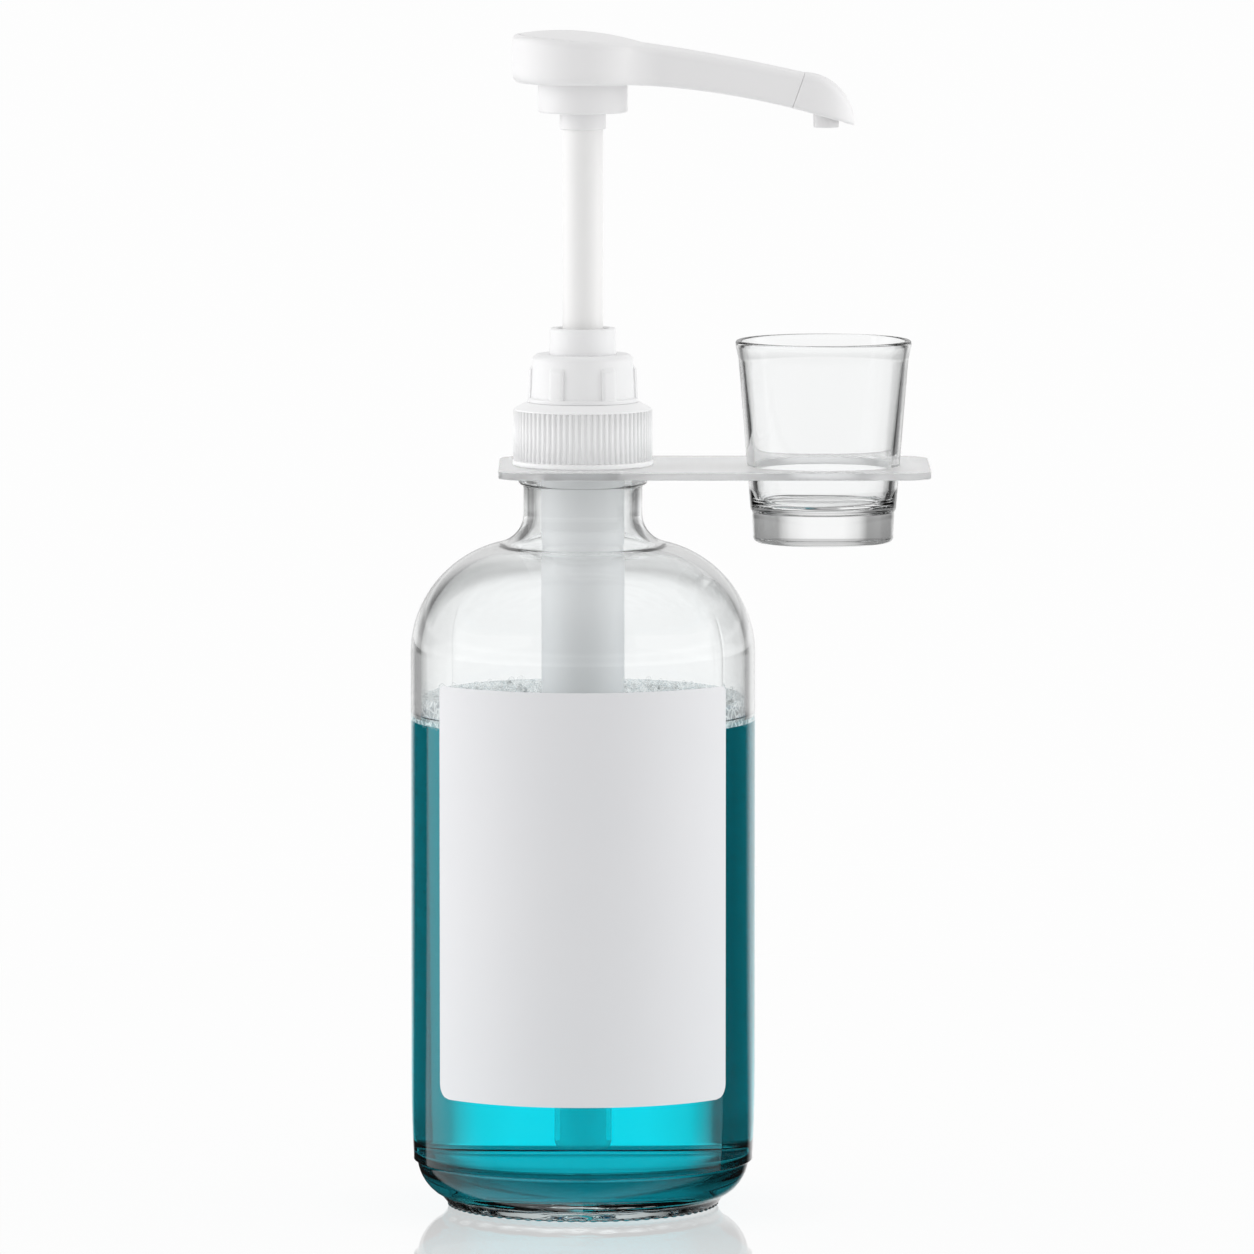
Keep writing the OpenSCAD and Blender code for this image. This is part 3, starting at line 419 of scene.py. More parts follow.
for vertex in bottle.data.vertices:
    r = math.hypot(vertex.co.x, vertex.co.y) / MM
    z = vertex.co.z / MM
    angle = math.degrees(math.atan2(vertex.co.y, vertex.co.x))
    push = 0.0
    if r > neck_r - 0.15 and 201.8 < z < lip_z - 0.9:
        for turn in range(3):
            along = angle % 360.0 + 360.0 * turn
            if along <= thread_end:
                off = abs(z - thread_start - thread_pitch * along / 360.0)
                fade = min(1.0, along / run_out, (thread_end - along) / run_out)
                high = max(0.0, min(1.0, (thread_half - off) / thread_flank))
                push = max(push, thread_rise * fade * high)
    if 12.0 < z < 188.0 and r > 44.5:
        if any(abs((angle - s + 180.0) % 360.0 - 180.0) < seam_half for s in seams):
            push = seam_rise
    if z < foot_z and r > foot_r:
        turn = math.radians(angle)
        drift = 1.6 * math.sin(4 * turn) + 0.9 * math.sin(9 * turn + 1.0) + 0.5 * math.sin(21 * turn)
        ripple = 0.05 * math.sin(4.6 * z + drift) + 0.04 * math.sin(31 * turn + z) - 0.09
        push += min(1.0, (foot_z - z) / 3.0) * ripple
        if z < 4.0:
            vertex.co.z += 0.00004 * (1.0 + math.sin(27 * turn + r)) + 0.00003 * (1.0 + math.sin(2.2 * r + drift))
    if push:
        vertex.co.x *= 1 + push / r
        vertex.co.y *= 1 + push / r
flint, glass_ior, water_ior = (0.985, 0.995, 0.995, 1.0), 1.5, 1.333
bottle.data.materials.append(clear_glass("flint_glass", flint, glass_ior, 42.0, 0.00006))
grown(bottle, "foot_ring_knurls", knurls, {"Knurls": 76, "Ring radius": 0.0366, "Knurl size": 0.0008})
# Where the mouthwash wets the inner face, glass and liquid share one surface with the
# refraction of the pair. Over the base, that face is tinted dark: painted shade.
for name, tint in (("wetted_glass", flint), ("painted_shade_base_glass", (0.26, 0.4, 0.43, 1.0))):
    bottle.data.materials.append(clear_glass(name, tint, glass_ior / water_ior, 42.0, 0.00006))
wet_low, wet_high, base_top, inner_face_r = 4.5, 133.6, 14.4, 44.6
for face in bottle.data.polygons:
    r, z = math.hypot(face.center.x, face.center.y) / MM, face.center.z / MM
    outward = (face.normal.x * face.center.x + face.normal.y * face.center.y) / max(r, 0.01) / MM
    if wet_low < z < wet_high and r < inner_face_r and face.normal.z > outward:
        face.material_index = 1 if z > base_top else 2
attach(bottle, "bottle")
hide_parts("bottle")


# Mouthwash: a clear teal liquid, poured in to just above the label. It wets the glass
# and the pump, and turns up where it meets them.
fill_z, wet_r = 134.0, 44.26
surface = [(11.36, fill_z + 0.9), (11.6, fill_z + 0.35), (12.4, fill_z + 0.05), (14.0, fill_z), (40.0, fill_z),
           (42.6, fill_z + 0.08), (43.7, fill_z + 0.6), (wet_r, fill_z + 1.6)]
wetted = (
    [(0.0, 8.6), (8.0, 8.4), (16.0, 8.0), (24.0, 7.6), (32.0, 7.2)]
    + arc(36.11, 11.05, 4.06, -84, -42, 12)
    + arc(41.2, 15.2, 3.06, -42, 0, 12)
    + [(wet_r, 20.0 + 110.0 * i / 20) for i in range(21)]
    + surface[::-1]
    + [(11.25, 131.0), (11.25, 127.1), (7.25, 122.1), (7.25, 112.1), (5.8, 112.1), (5.8, 17.9), (4.8, 17.9),
       (4.8, 123.6), (0.0, 123.9)]
)
mouthwash = turned("mouthwash_liquid", wetted, around=200)
for name, ior in (("teal_mouthwash", water_ior), ("teal_against_glass", 1.0)):
    teal, tree = new_material(name)
    liquid = out(tree, "ShaderNodeBsdfPrincipled", {"Base Color": grey(1.0), "Roughness": 0.0, "IOR": ior,
                                                    "Transmission Weight": 1.0})
    surface = open_to_lamps(tree, liquid, (0.98, 0.985, 0.985, 1.0))
    dye = out(tree, "ShaderNodeVolumeAbsorption", {"Color": (0.0, 0.943, 0.9765, 1.0), "Density": 66.0})
    node(tree, "ShaderNodeOutputMaterial", {"Surface": surface, "Volume": dye})
    mouthwash.data.materials.append(teal)
for face in mouthwash.data.polygons:
    if face.center.z / MM < fill_z - 0.4:
        face.material_index = 1
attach(mouthwash, "bottle")
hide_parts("mouthwash")


# Foam: a raft of clear bubbles on the mouthwash, thicker beside the pump and against the
# glass, held together by a thin wet film.
foam_top, foam_foot = 139.6, 133.2
raft = turned("foam_raft", rounded([
    (11.5, foam_top + 0.6, 0.4), (14.0, foam_top, 1.0), (41.0, foam_top - 0.4, 1.0), (44.05, foam_top + 0.8, 0.3),
    (44.05, foam_foot, 0.4), (38.0, foam_foot + 0.9, 1.0), (11.5, foam_foot + 0.9, 0.4)], loop=True),
    around=160, loop=True)
froth, tree = new_material("froth")
cells = node(tree, "ShaderNodeTexVoronoi", {"Vector": on_object(tree), "Scale": 420.0},
             feature="DISTANCE_TO_EDGE").outputs["Distance"]
walls = out(tree, "ShaderNodeMapRange", {"Value": cells, "From Min": 0.0, "From Max": 0.16, "To Min": 0.8,
                                         "To Max": 0.3})
bump = out(tree, "ShaderNodeBump", {"Height": cells, "Strength": 0.8, "Distance": 0.0006})
film = out(tree, "ShaderNodeBsdfPrincipled", {"Base Color": (0.95, 0.985, 0.99, 1.0), "Roughness": 0.2,
                                              "IOR": water_ior, "Normal": bump})
rim = node(tree, "ShaderNodeLayerWeight", {"Blend": 0.35, "Normal": bump}).outputs["Facing"]
share = maths(tree, "MAXIMUM", maths(tree, "MULTIPLY", rim, 0.3), walls)
hollow = out(tree, "ShaderNodeBsdfTransparent", {0: (0.99, 1.0, 1.0, 1.0)})
node(tree, "ShaderNodeOutputMaterial", {0: mixed(tree, share, hollow, film)})
raft.data.materials.append(froth)
bubble_skin, tree = new_material("bubble_skin")
edge = node(tree, "ShaderNodeLayerWeight", {"Blend": 0.5}).outputs["Facing"]
share = levels(tree, edge, [(0.0, 0.06), (0.6, 0.12), (0.82, 0.5), (0.93, 0.7), (1.0, 0.4)])
thin = out(tree, "ShaderNodeBsdfTransparent", {0: grey(1.0)})
wall = out(tree, "ShaderNodeBsdfPrincipled", {"Base Color": (0.85, 0.91, 0.92, 1.0), "Roughness": 0.08,
                                              "IOR": water_ior})
node(tree, "ShaderNodeOutputMaterial", {0: mixed(tree, share, thin, wall)})


def bubbles(tree, given):
    spread = node(tree, "GeometryNodeDistributePointsOnFaces", {
        0: given[0], "Density": given["Bubbles per m2"], "Seed": given["Seed"]}).outputs["Points"]
    size = node(tree, "FunctionNodeRandomValue", {
        2: given["Smallest"], 3: given["Largest"], "Seed": given["Seed"]}).outputs[1]
    ball = out(tree, "GeometryNodeMeshIcoSphere", {"Radius": 1.0, "Subdivisions": 2})
    balls = out(tree, "GeometryNodeInstanceOnPoints", {0: spread, "Instance": ball, "Scale": size})
    return out(tree, "GeometryNodeSetShadeSmooth", {0: balls})


def coat(made, *materials):
    """Gives an object these materials in place of what it has."""
    made.data.materials.clear()
    for material in materials:
        made.data.materials.append(material)


bubbly = placed("foam_bubbles", raft.data.copy())
coat(bubbly, bubble_skin)
grown(bubbly, "foam_bubbles", bubbles, {"Bubbles per m2": 60000.0, "Smallest": 0.0004, "Largest": 0.0013, "Seed": 4})
foam_r = 44.1
for vertex in bubbly.data.vertices:
    r = math.hypot(vertex.co.x, vertex.co.y) / MM
    if r > foam_r:
        vertex.co.x *= foam_r / r
        vertex.co.y *= foam_r / r
for part in (raft, bubbly):
    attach(part, "bottle")
    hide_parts("mouthwash")


# Label: smooth white stock, die cut with rounded corners, stuck on the front of the bottle.
label_half, label_foot, label_h, label_r, label_t = 45.28, 32.9, 112.4, 47.0, 0.15
foot_fillet, top_fillet, straight_top, columns = 4.0, 1.8, 110.6, 72
rows = ([0.0, 0.4, 0.9, 1.5, 2.2, 3.0, foot_fillet]
        + [foot_fillet + (straight_top - foot_fillet) * i / 20 for i in range(1, 21)]
        + [111.2, 111.8, 112.2, label_h])
points = []
for layer in (label_t, 0.0):
    for row in rows:
        low, high = foot_fillet - row, row - straight_top
        inset = foot_fillet - math.sqrt(foot_fillet ** 2 - low ** 2) if low > 0 else 0.0
        if high > 0:
            inset = top_fillet - math.sqrt(max(0.0, top_fillet ** 2 - high ** 2))
        for k in range(columns + 1):
            a = (label_half - inset) * (2.0 * k / columns - 1.0) / label_r
            points.append(((label_r + layer) * math.sin(a) * MM, -(label_r + layer) * math.cos(a) * MM,
                           (label_foot + row) * MM))
wide, tall = columns + 1, len(rows)
layer = wide * tall
faces = []
for j in range(tall - 1):
    for k in range(columns):
        front = [j * wide + k, j * wide + k + 1, (j + 1) * wide + k + 1, (j + 1) * wide + k]
        a, b, c, d = [corner + layer for corner in front]
        faces += [tuple(front), (a, d, c, b)]
edge = (list(range(columns)) + [j * wide + columns for j in range(tall - 1)]
        + [(tall - 1) * wide + k for k in range(columns, 0, -1)] + [j * wide for j in range(tall - 1, 0, -1)])
for i, a in enumerate(edge):
    b = edge[(i + 1) % len(edge)]
    faces.append((a, a + layer, b + layer, b))
sheet = bpy.data.meshes.new("label_sheet")
sheet.from_pydata(points, [], faces)
label = finished("label_sheet", sheet)
stock, tree = new_material("label_stock")
place = on_object(tree)
fibre = out(tree, "ShaderNodeTexNoise", {"Vector": place, "Scale": 900.0, "Detail": 5.0, "Roughness": 0.6})
patch = out(tree, "ShaderNodeTexNoise", {"Vector": place, "Scale": 22.0, "Detail": 2.0})
tone = blend(tree, patch, (0.765, 0.77, 0.79, 1.0), (0.80, 0.80, 0.815, 1.0))
bump = out(tree, "ShaderNodeBump", {"Height": fibre, "Strength": 0.12, "Distance": 0.00005})
sheen = out(tree, "ShaderNodeMapRange", {"Value": fibre, "To Min": 0.42, "To Max": 0.55})
paper = out(tree, "ShaderNodeBsdfPrincipled", {"Base Color": tone, "Roughness": sheen, "IOR": 1.45, "Normal": bump})
node(tree, "ShaderNodeOutputMaterial", {0: paper})
label.data.materials.append(stock)
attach(label, "bottle")
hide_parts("label")


# Cup plate: clear cast acrylic, laser cut, with flame-polished edges. It drops over the
# neck, rests on the bead and is clamped there by the closure.
plate_low, plate_high, bevel = 201.028, 203.028, 0.16
neck_hole_r, cup_hole_r, cup_x, corner_r = 16.6, 20.83, 65.4, 8.0
outline = bpy.data.curves.new("plate_outline", "CURVE")
outline.dimensions = "2D"
outline.fill_mode = "BOTH"


def add_ring(curve, points):
    spline = curve.splines.new("POLY")
    spline.points.add(len(points) - 1)
    for point, (x, y) in zip(spline.points, points):
        point.co = (x * MM, y * MM, 0.0, 1.0)
    spline.use_cyclic_u = True


corners = []
for x, y, start in ((86.29, 20.5, 0), (-14.8, 20.5, 90), (-14.8, -20.5, 180), (86.29, -20.5, 270)):
    corners += arc(x, y, corner_r, start, start + 90, 16)
add_ring(outline, corners)
add_ring(outline, arc(0, 0, neck_hole_r, 0, 360, 96)[:-1])
add_ring(outline, arc(cup_x, 0, cup_hole_r, 0, 360, 120)[:-1])
outline.extrude = (plate_high - plate_low) * MM / 2 - bevel * MM
outline.bevel_depth = bevel * MM
outline.bevel_resolution = 2
outline.offset = -bevel * MM
draft = placed("plate_draft", outline)
plate_mesh = result_of(draft)
bpy.data.objects.remove(draft)
for vertex in plate_mesh.vertices:
    vertex.co.z += (plate_low + plate_high) / 2 * MM
bm = bmesh.new()
bm.from_mesh(plate_mesh)
bmesh.ops.remove_doubles(bm, verts=bm.verts, dist=1e-6)
bm.to_mesh(plate_mesh)
bm.free()
plate = finished("acrylic_plate", plate_mesh, sharp=28.0)
cast = clear_glass("cast_acrylic", (0.86, 0.86, 0.87, 1.0), 1.49, 60.0, 0.00003, rough=0.28, frost=0.08)
satin_face = clear_glass("satin_acrylic", (0.99, 0.99, 0.995, 1.0), 1.49, 60.0, 0.00003, rough=0.22, frost=0.27)
coat(plate, cast, satin_face)
for face in plate.data.polygons:
    face.material_index = 1 if abs(face.normal.z) > 0.95 else 0
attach(plate, "holder")
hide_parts("cup_holder")


# Cup: a small pressed tumbler of clear glass with a solid base and a fire-polished rim.
# Its tapered wall hangs in the plate's hole.
cup_foot = 182.028
cup_outline = rounded([
    (0.0, 0.5), (15.0, 0.45, 2.0), (16.9, 0.0, 0.8), (19.05, 0.0, 1.3), (19.36, 8.3, 0.5), (19.82, 9.0, 0.5),
    (22.75, 45.4, 8.0), (23.15, 50.0, 6.0), (23.9, 53.4, 2.0), (23.99, 54.98, 0.8), (22.4, 54.98, 0.7),
    (21.75, 50.0, 8.0), (17.9, 14.5, 6.0), (17.0, 9.75, 3.4), (8.0, 9.3, 6.0), (0.0, 9.2)], steps=8)
cup = turned("glass_cup", [(r, z + cup_foot) for r, z in cup_outline], around=200, x=cup_x)
cup.data.materials.append(clear_glass("pressed_glass", (0.985, 0.99, 0.99, 1.0), glass_ior, 55.0, 0.00005))
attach(cup, "cup")
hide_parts("cup")


# Pump housing: moulded in uncoloured polypropylene, slightly see-through. Its flange rests
# on the neck, and its foot takes the dip tube. A faint ring shows where the mould parts.
def moulded(name, colour, rough, grain, glow=0.0, mottle=0.012, clear=0.0, along=None):
    """Moulded plastic: a fine grain in its gloss and faint flow marks in its colour. A wall can pass
    soft light (glow), be seen through (clear) and carry painted shade that changes with its height (along)."""
    made, tree = new_material(name)
    place = on_object(tree)
    flow = out(tree, "ShaderNodeTexNoise", {"Vector": place, "Scale": 34.0, "Detail": 3.0, "Distortion": 0.6})
    fine = out(tree, "ShaderNodeTexNoise", {"Vector": place, "Scale": grain, "Detail": 4.0, "Roughness": 0.6})
    tone = blend(tree, flow, (*(c * (1.0 - mottle * 2) for c in colour), 1.0), (*colour, 1.0))
    # Painted shade: the colour is multiplied by grey levels that follow the height.
    if along:
        height = node(tree, "ShaderNodeSeparateXYZ", {0: place}).outputs["Z"]
        tone = blend(tree, 1.0, tone, levels(tree, height, along), "MULTIPLY")
    gloss = out(tree, "ShaderNodeMapRange", {"Value": fine, "To Min": rough - 0.06, "To Max": rough + 0.06})
    bump = out(tree, "ShaderNodeBump", {"Height": fine, "Strength": 0.25, "Distance": 0.00003})
    shader = out(tree, "ShaderNodeBsdfPrincipled", {"Base Color": tone, "Roughness": gloss, "IOR": 1.49,
                                                    "Normal": bump})
    if glow:
        shader = mixed(tree, glow, shader, out(tree, "ShaderNodeBsdfTranslucent", {0: (*colour, 1.0)}))
    if clear:
        shader = mixed(tree, clear, shader, out(tree, "ShaderNodeBsdfTransparent"))
    node(tree, "ShaderNodeOutputMaterial", {0: shader})
    return made


housing = turned("housing_tube", rounded([
    (4.0, 124.03), (4.0, 127.03, 0.3), (10.1, 127.03, 0.8), (10.1, 230.03, 0.3), (11.5, 230.03, 0.3),
    (11.5, 215.63, 0.2), (15.2, 215.63, 0.3), (15.2, 214.03, 0.3), (11.3, 214.03, 0.3), (11.3, 185.4, 0.1),
    (11.38, 185.2, 0.1), (11.38, 184.6, 0.1), (11.3, 184.4, 0.1), (11.3, 127.03, 1.2), (7.3, 122.03, 1.0),
    (7.3, 112.03, 0.4), (5.88, 112.03, 0.2), (5.88, 124.0, 0.1)], loop=True), loop=True, around=120)
# Its colour carries painted shade: darker above the parting ring, and a little darker towards the foot.
natural = moulded("natural_polypropylene", (0.93, 0.94, 0.95), 0.38, 1500.0, glow=0.22,
                  along=[(0.1, 0.96), (0.165, 1.0), (0.184, 1.0), (0.1852, 0.95), (0.23, 0.95)])
housing.data.materials.append(natural)
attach(housing, "pump_body")
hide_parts("pump_housing")


# Dip tube: extruded in the same plastic, pushed into the housing's socket, and notched at
# its lower end so that it can't seal against the base.
tube = turned("dip_tube_wall", rounded([(5.85, 17.8, 0.2), (5.85, 124.0, 0.3), (4.75, 124.0, 0.2), (4.75, 17.8, 0.2)],
                                       loop=True, steps=3), loop=True, around=96)
for vertex in tube.data.vertices:
    if vertex.co.z < 0.0185:
        vertex.co.z += 0.0020 * math.exp(-((vertex.co.y / 0.0017) ** 2))
extruded = moulded("extruded_tube", (0.92, 0.93, 0.93), 0.3, 900.0, glow=0.6, clear=0.75)
tube.data.materials.append(extruded)
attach(tube, "pump_body")
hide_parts("dip_tube")


# Inside the pump: the ball cage, the piston, its retainer and the stem's wiper are soft or
# hard white mouldings, and the gasket is liner foam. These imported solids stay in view, so
# each only gets its own material.
for name, made in (
    ("ball_cage", moulded("cage_polypropylene", (0.80, 0.81, 0.82), 0.4, 1300.0)),
    ("piston", moulded("piston_polyethylene", (0.76, 0.77, 0.77), 0.55, 1100.0, mottle=0.02)),
    ("piston_retainer", moulded("retainer_polypropylene", (0.82, 0.82, 0.82), 0.42, 1300.0)),
    ("stem_wiper", moulded("wiper_polyethylene", (0.72, 0.73, 0.73), 0.6, 1000.0, mottle=0.02)),
):
    coat(nodes[name], made)
liner, tree = new_material("liner_foam")
pores = out(tree, "ShaderNodeTexVoronoi", {"Vector": on_object(tree), "Scale": 2600.0})
bump = out(tree, "ShaderNodeBump", {"Height": pores, "Strength": 0.6, "Distance": 0.0001})
tone = blend(tree, pores, (0.80, 0.80, 0.77, 1.0), (0.70, 0.70, 0.67, 1.0))
foam = out(tree, "ShaderNodeBsdfPrincipled", {"Base Color": tone, "Roughness": 0.85, "Normal": bump})
node(tree, "ShaderNodeOutputMaterial", {0: foam})
coat(nodes["neck_gasket"], liner)


# Valve balls: polished stainless steel, one over the housing's floor and one in the stem.
def bare_steel(name, tone, grain, detail, low, high, stretch=None):
    """Bare steel whose gloss wanders from low to high. Stretch squeezes its grain along Z."""
    made, tree = new_material(name)
    place = on_object(tree)
    if stretch:
        place = out(tree, "ShaderNodeMapping", {0: place, "Scale": (1.0, 1.0, stretch)})
    haze = out(tree, "ShaderNodeTexNoise", {"Vector": place, "Scale": grain, "Detail": detail})
    gloss = out(tree, "ShaderNodeMapRange", {"Value": haze, "To Min": low, "To Max": high})
    steel = out(tree, "ShaderNodeBsdfPrincipled", {"Base Color": tone, "Metallic": 1.0, "Roughness": gloss})
    node(tree, "ShaderNodeOutputMaterial", {0: steel})
    return made


polished = bare_steel("polished_steel", (0.62, 0.63, 0.64, 1.0), 1600.0, 4.0, 0.06, 0.14)
coat(nodes["inlet_ball"], polished)
coat(nodes["outlet_ball"], polished)


# Return spring: drawn stainless wire, wound with a closed turn at each end. It stands on
# the ball cage and lifts the piston.
def skinned(name, rings):
    """A closed mesh round rings of as many points each, in mm, flat at both ends."""
    n, last = len(rings[0]), len(rings) - 1
    points = [(x * MM, y * MM, z * MM) for ring in rings for x, y, z in ring]
    faces = []
    for i in range(last):
        for k in range(n):
            a, b = i * n + k, i * n + (k + 1) % n
            faces.append((a, b, b + n, a + n))
    faces += [tuple(range(n)), tuple(last * n + k for k in range(n))]
    mesh = bpy.data.meshes.new(name)
    mesh.from_pydata(points, [], faces)
    return mesh


spring_low, spring_high, wire, coil_r, end_gap = 132.028, 200.228, 1.2, 8.6, 0.08
close_pitch, turns, per_turn, sides = 1.7, 10, 24, 10
open_pitch = (spring_high - spring_low - 2 * end_gap - wire - 2 * close_pitch) / (turns - 2)
rings = []
for i in range(turns * per_turn + 1):
    t = i / per_turn
    closed, opened = min(t, 1.0) + max(t - turns + 1.0, 0.0), min(max(t - 1.0, 0.0), turns - 2.0)
    z = spring_low + end_gap + wire / 2 + close_pitch * closed + open_pitch * opened
    a = 2 * math.pi * t
    ring = []
    for k in range(sides):
        b = 2 * math.pi * k / sides
        r = coil_r + wire / 2 * math.cos(b)
        ring.append((r * math.cos(a), r * math.sin(a), z + wire / 2 * math.sin(b)))
    rings.append(ring)
spring = finished("spring_wire", skinned("spring_wire", rings))
spring.data.materials.append(bare_steel("drawn_wire", (0.56, 0.57, 0.58, 1.0), 700.0, 3.0, 0.2, 0.36, stretch=9.0))
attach(spring, "pump_body")
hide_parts("return_spring")
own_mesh(spring)


# Closure: white polypropylene with a continuous inside thread and fine grip ribs between
# two plain bands. It screws on the neck, and clamps the plate and the housing's flange.
closure_foot, closure_top = 203.028, 220.228
rib_foot, rib_top = closure_foot + 1.5, closure_top - 2.3
closure_outline = rounded([
    (16.75, closure_foot, 0.3), (19.1, closure_foot, 0.5), (19.08, rib_foot - 0.2, 0.2), (18.45, rib_foot, 0.1),
    (18.35, rib_top, 0.1), (18.72, rib_top + 0.12, 0.1), (18.7, closure_top - 1.85, 0.35),
    (15.3, closure_top - 0.02, 0.5), (12.0, closure_top - 0.02, 0.2), (12.0, 215.63, 0.2),
    (16.75, 215.63, 0.5)], loop=True)
closure = turned("closure_shell", closure_outline, loop=True, around=144)
closure.data.materials.append(moulded("closure_polypropylene", (0.92, 0.92, 0.925), 0.4, 1400.0))


def grip_ribs(tree, given):
    bar = out(tree, "GeometryNodeMeshCylinder", {"Vertices": 10, "Side Segments": 1, "Radius": 0.00052,
                                                 "Depth": given["Rib length"]})
    outward = out(tree, "ShaderNodeVectorMath", {0: out(tree, "GeometryNodeInputPosition"), 1: (1.0, 1.0, 0.0)},
                  operation="MULTIPLY")
    bars = ring_of(tree, given["Ribs"], given["Rib circle"], (rib_foot + rib_top) / 2 * MM, bar, outward,
                   (0.9, 1.0, 1.0))
    return added(tree, given, bars)


grown(closure, "closure_ribs", grip_ribs, {
    "Ribs": 72, "Rib circle": 0.01845, "Rib length": (rib_top - rib_foot + 0.2) * MM})
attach(closure, "closure")
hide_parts("closure")


# Collar nut: white polypropylene with a foot ring and six grip lugs. It seats on the
# housing's neck and holds the closure and the stem guide.
nut_foot, nut_top = 220.428, 233.228
nut_outline = rounded([
    (11.53, nut_foot - 0.17, 0.1), (15.1, nut_foot - 0.17, 0.1), (15.1, nut_foot + 0.9, 0.3),
    (14.2, nut_foot + 1.0, 0.4), (13.75, nut_top - 1.0, 1.6), (12.6, nut_top, 1.2), (9.15, nut_top, 0.2),
    (9.15, nut_top - 2.0, 0.1), (11.53, nut_top - 2.0, 0.2)], loop=True)
nut = turned("collar_nut_body", nut_outline, loop=True, around=144)
satin = moulded("pump_polypropylene", (0.88, 0.88, 0.885), 0.36, 1500.0)
nut.data.materials.append(satin)
lugs, lug_half, lug_root, lug_steps = 6, 8.8, 13.2, 8
lug_section = rounded([(12.6, nut_foot + 0.5), (14.98, nut_foot + 0.5, 0.3), (14.62, nut_top - 4.2, 0.9),
                       (13.75, nut_top - 3.0, 0.5), (12.6, nut_top - 3.0)])
lug_rings = []
for i in range(lug_steps + 1):
    a = math.radians(lug_half * (2.0 * i / lug_steps - 1.0))
    edge = min(1.0, 0.8 + 1.6 * min(i, lug_steps - i) / lug_steps)
    drawn_in = [(lug_root + (r - lug_root) * (edge if r > lug_root else 1.0), z) for r, z in lug_section]
    lug_rings.append([(r * math.cos(a), r * math.sin(a), z) for r, z in drawn_in])
lug = finished("grip_lug", skinned("grip_lug", lug_rings), sharp=50.0)
lug.data.materials.append(satin)


def grip_lugs(tree, given):
    source = node(tree, "GeometryNodeObjectInfo", {0: given["Lug"]}).outputs["Geometry"]
    stack = out(tree, "GeometryNodeMeshLine", {"Count": given["Lugs"], "Offset": (0.0, 0.0, 0.0)})
    turn = maths(tree, "MULTIPLY", out(tree, "GeometryNodeInputIndex"), math.radians(360.0 / lugs))
    angle = out(tree, "ShaderNodeCombineXYZ", {2: turn})
    pieces = out(tree, "GeometryNodeInstanceOnPoints", {0: stack, "Instance": source, "Rotation": angle})
    return added(tree, given, pieces)


grown(nut, "collar_lugs", grip_lugs, {"Lug": lug, "Lugs": lugs})
bpy.data.objects.remove(lug)
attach(nut, "pump_body")
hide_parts("collar_nut")


# Stem guide: a white sleeve that stands out of the nut. The stem slides through it, past
# the wiper in its recess.
guide = turned("guide_sleeve", rounded([
    (5.6, 212.03, 0.3), (7.5, 212.03, 0.3), (7.5, 230.03, 0.1), (11.4, 230.03, 0.2), (11.4, 231.2, 0.2),
    (9.05, 231.23, 0.1), (9.05, 240.33, 0.65), (7.13, 240.33, 0.4), (7.13, 236.43, 0.1), (5.6, 236.43, 0.2)],
    loop=True), loop=True, around=120)
guide.data.materials.append(satin)
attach(guide, "pump_body")
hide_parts("stem_guide")


# Stem: an extruded white tube, polished by the guide, pressed into the head above and
# carrying the piston below. A seat inside it stops the outlet ball.
stem = turned("stem_tube", rounded([
    (3.6, 200.13, 0.2), (4.6, 200.13, 0.2), (4.6, 206.13, 0.1), (5.55, 206.13, 0.3), (5.55, 304.33, 0.3),
    (3.6, 304.33, 0.3), (3.6, 211.82, 0.1), (2.0, 211.82, 0.1), (2.0, 210.32, 0.1), (3.6, 210.32, 0.1)],
    loop=True), loop=True, around=112)
stem.data.materials.append(moulded("stem_polypropylene", (0.89, 0.885, 0.88), 0.3, 1700.0))
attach(stem, "plunger")
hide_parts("stem")


# Pump head: one white moulding. A round pad slopes to a long spout, and the hub and the
# socket ring below it take the stem. The spout ends at a leaning seam.
ring_z, hub_z, pad_z, pad_top, pad_r = 294.328, 298.928, 306.928, 318.928, 19.2
pad_fall = math.tan(math.radians(4.6))
seam_x, seam_lean, front_x, nozzle_x, nozzle_z = 60.1, math.radians(20.0), 73.7, 66.0, 294.79
root_half, taper, taper_x, nose_power, fillet = 11.6, 3.55, 58.0, 2.6, 18.0
fillet_y = root_half + fillet
fillet_x = math.sqrt((pad_r + fillet) ** 2 - fillet_y ** 2)
slope_x, slope, slope_bend = 17.0, math.tan(math.radians(8.0)), 1052.0
under_x, under, under_bend = 12.15, math.tan(math.radians(2.3)), 416.0


def spout_top(x):
    if x < slope_x:
        return pad_top - 0.15 - pad_fall * x
    if x <= seam_x:
        past = x - slope_x
        return pad_top - pad_fall * pad_r - slope * past - past ** 2 / slope_bend
    bend = spout_top(seam_x)
    share = min(1.0, (x - seam_x) / (front_x - seam_x))
    return nozzle_z + 1.0 + (bend - nozzle_z - 1.0) * math.sqrt(max(0.0, 1.0 - share ** 2))


def spout_under(x):
    past = max(0.0, x - under_x)
    return pad_z - under * past - past ** 2 / under_bend


def spout_half(x):
    if x < fillet_x * pad_r / (pad_r + fillet):
        return math.sqrt(pad_r ** 2 - x ** 2) - 0.1
    if x < fillet_x:
        return fillet_y - math.sqrt(fillet ** 2 - (fillet_x - x) ** 2)
    if x < taper_x:
        return root_half - taper * (x - fillet_x) / (taper_x - fillet_x)
    share = min(1.0, (x - taper_x) / (front_x - taper_x))
    return (root_half - taper) * math.sqrt(max(0.0, 1.0 - share ** nose_power))


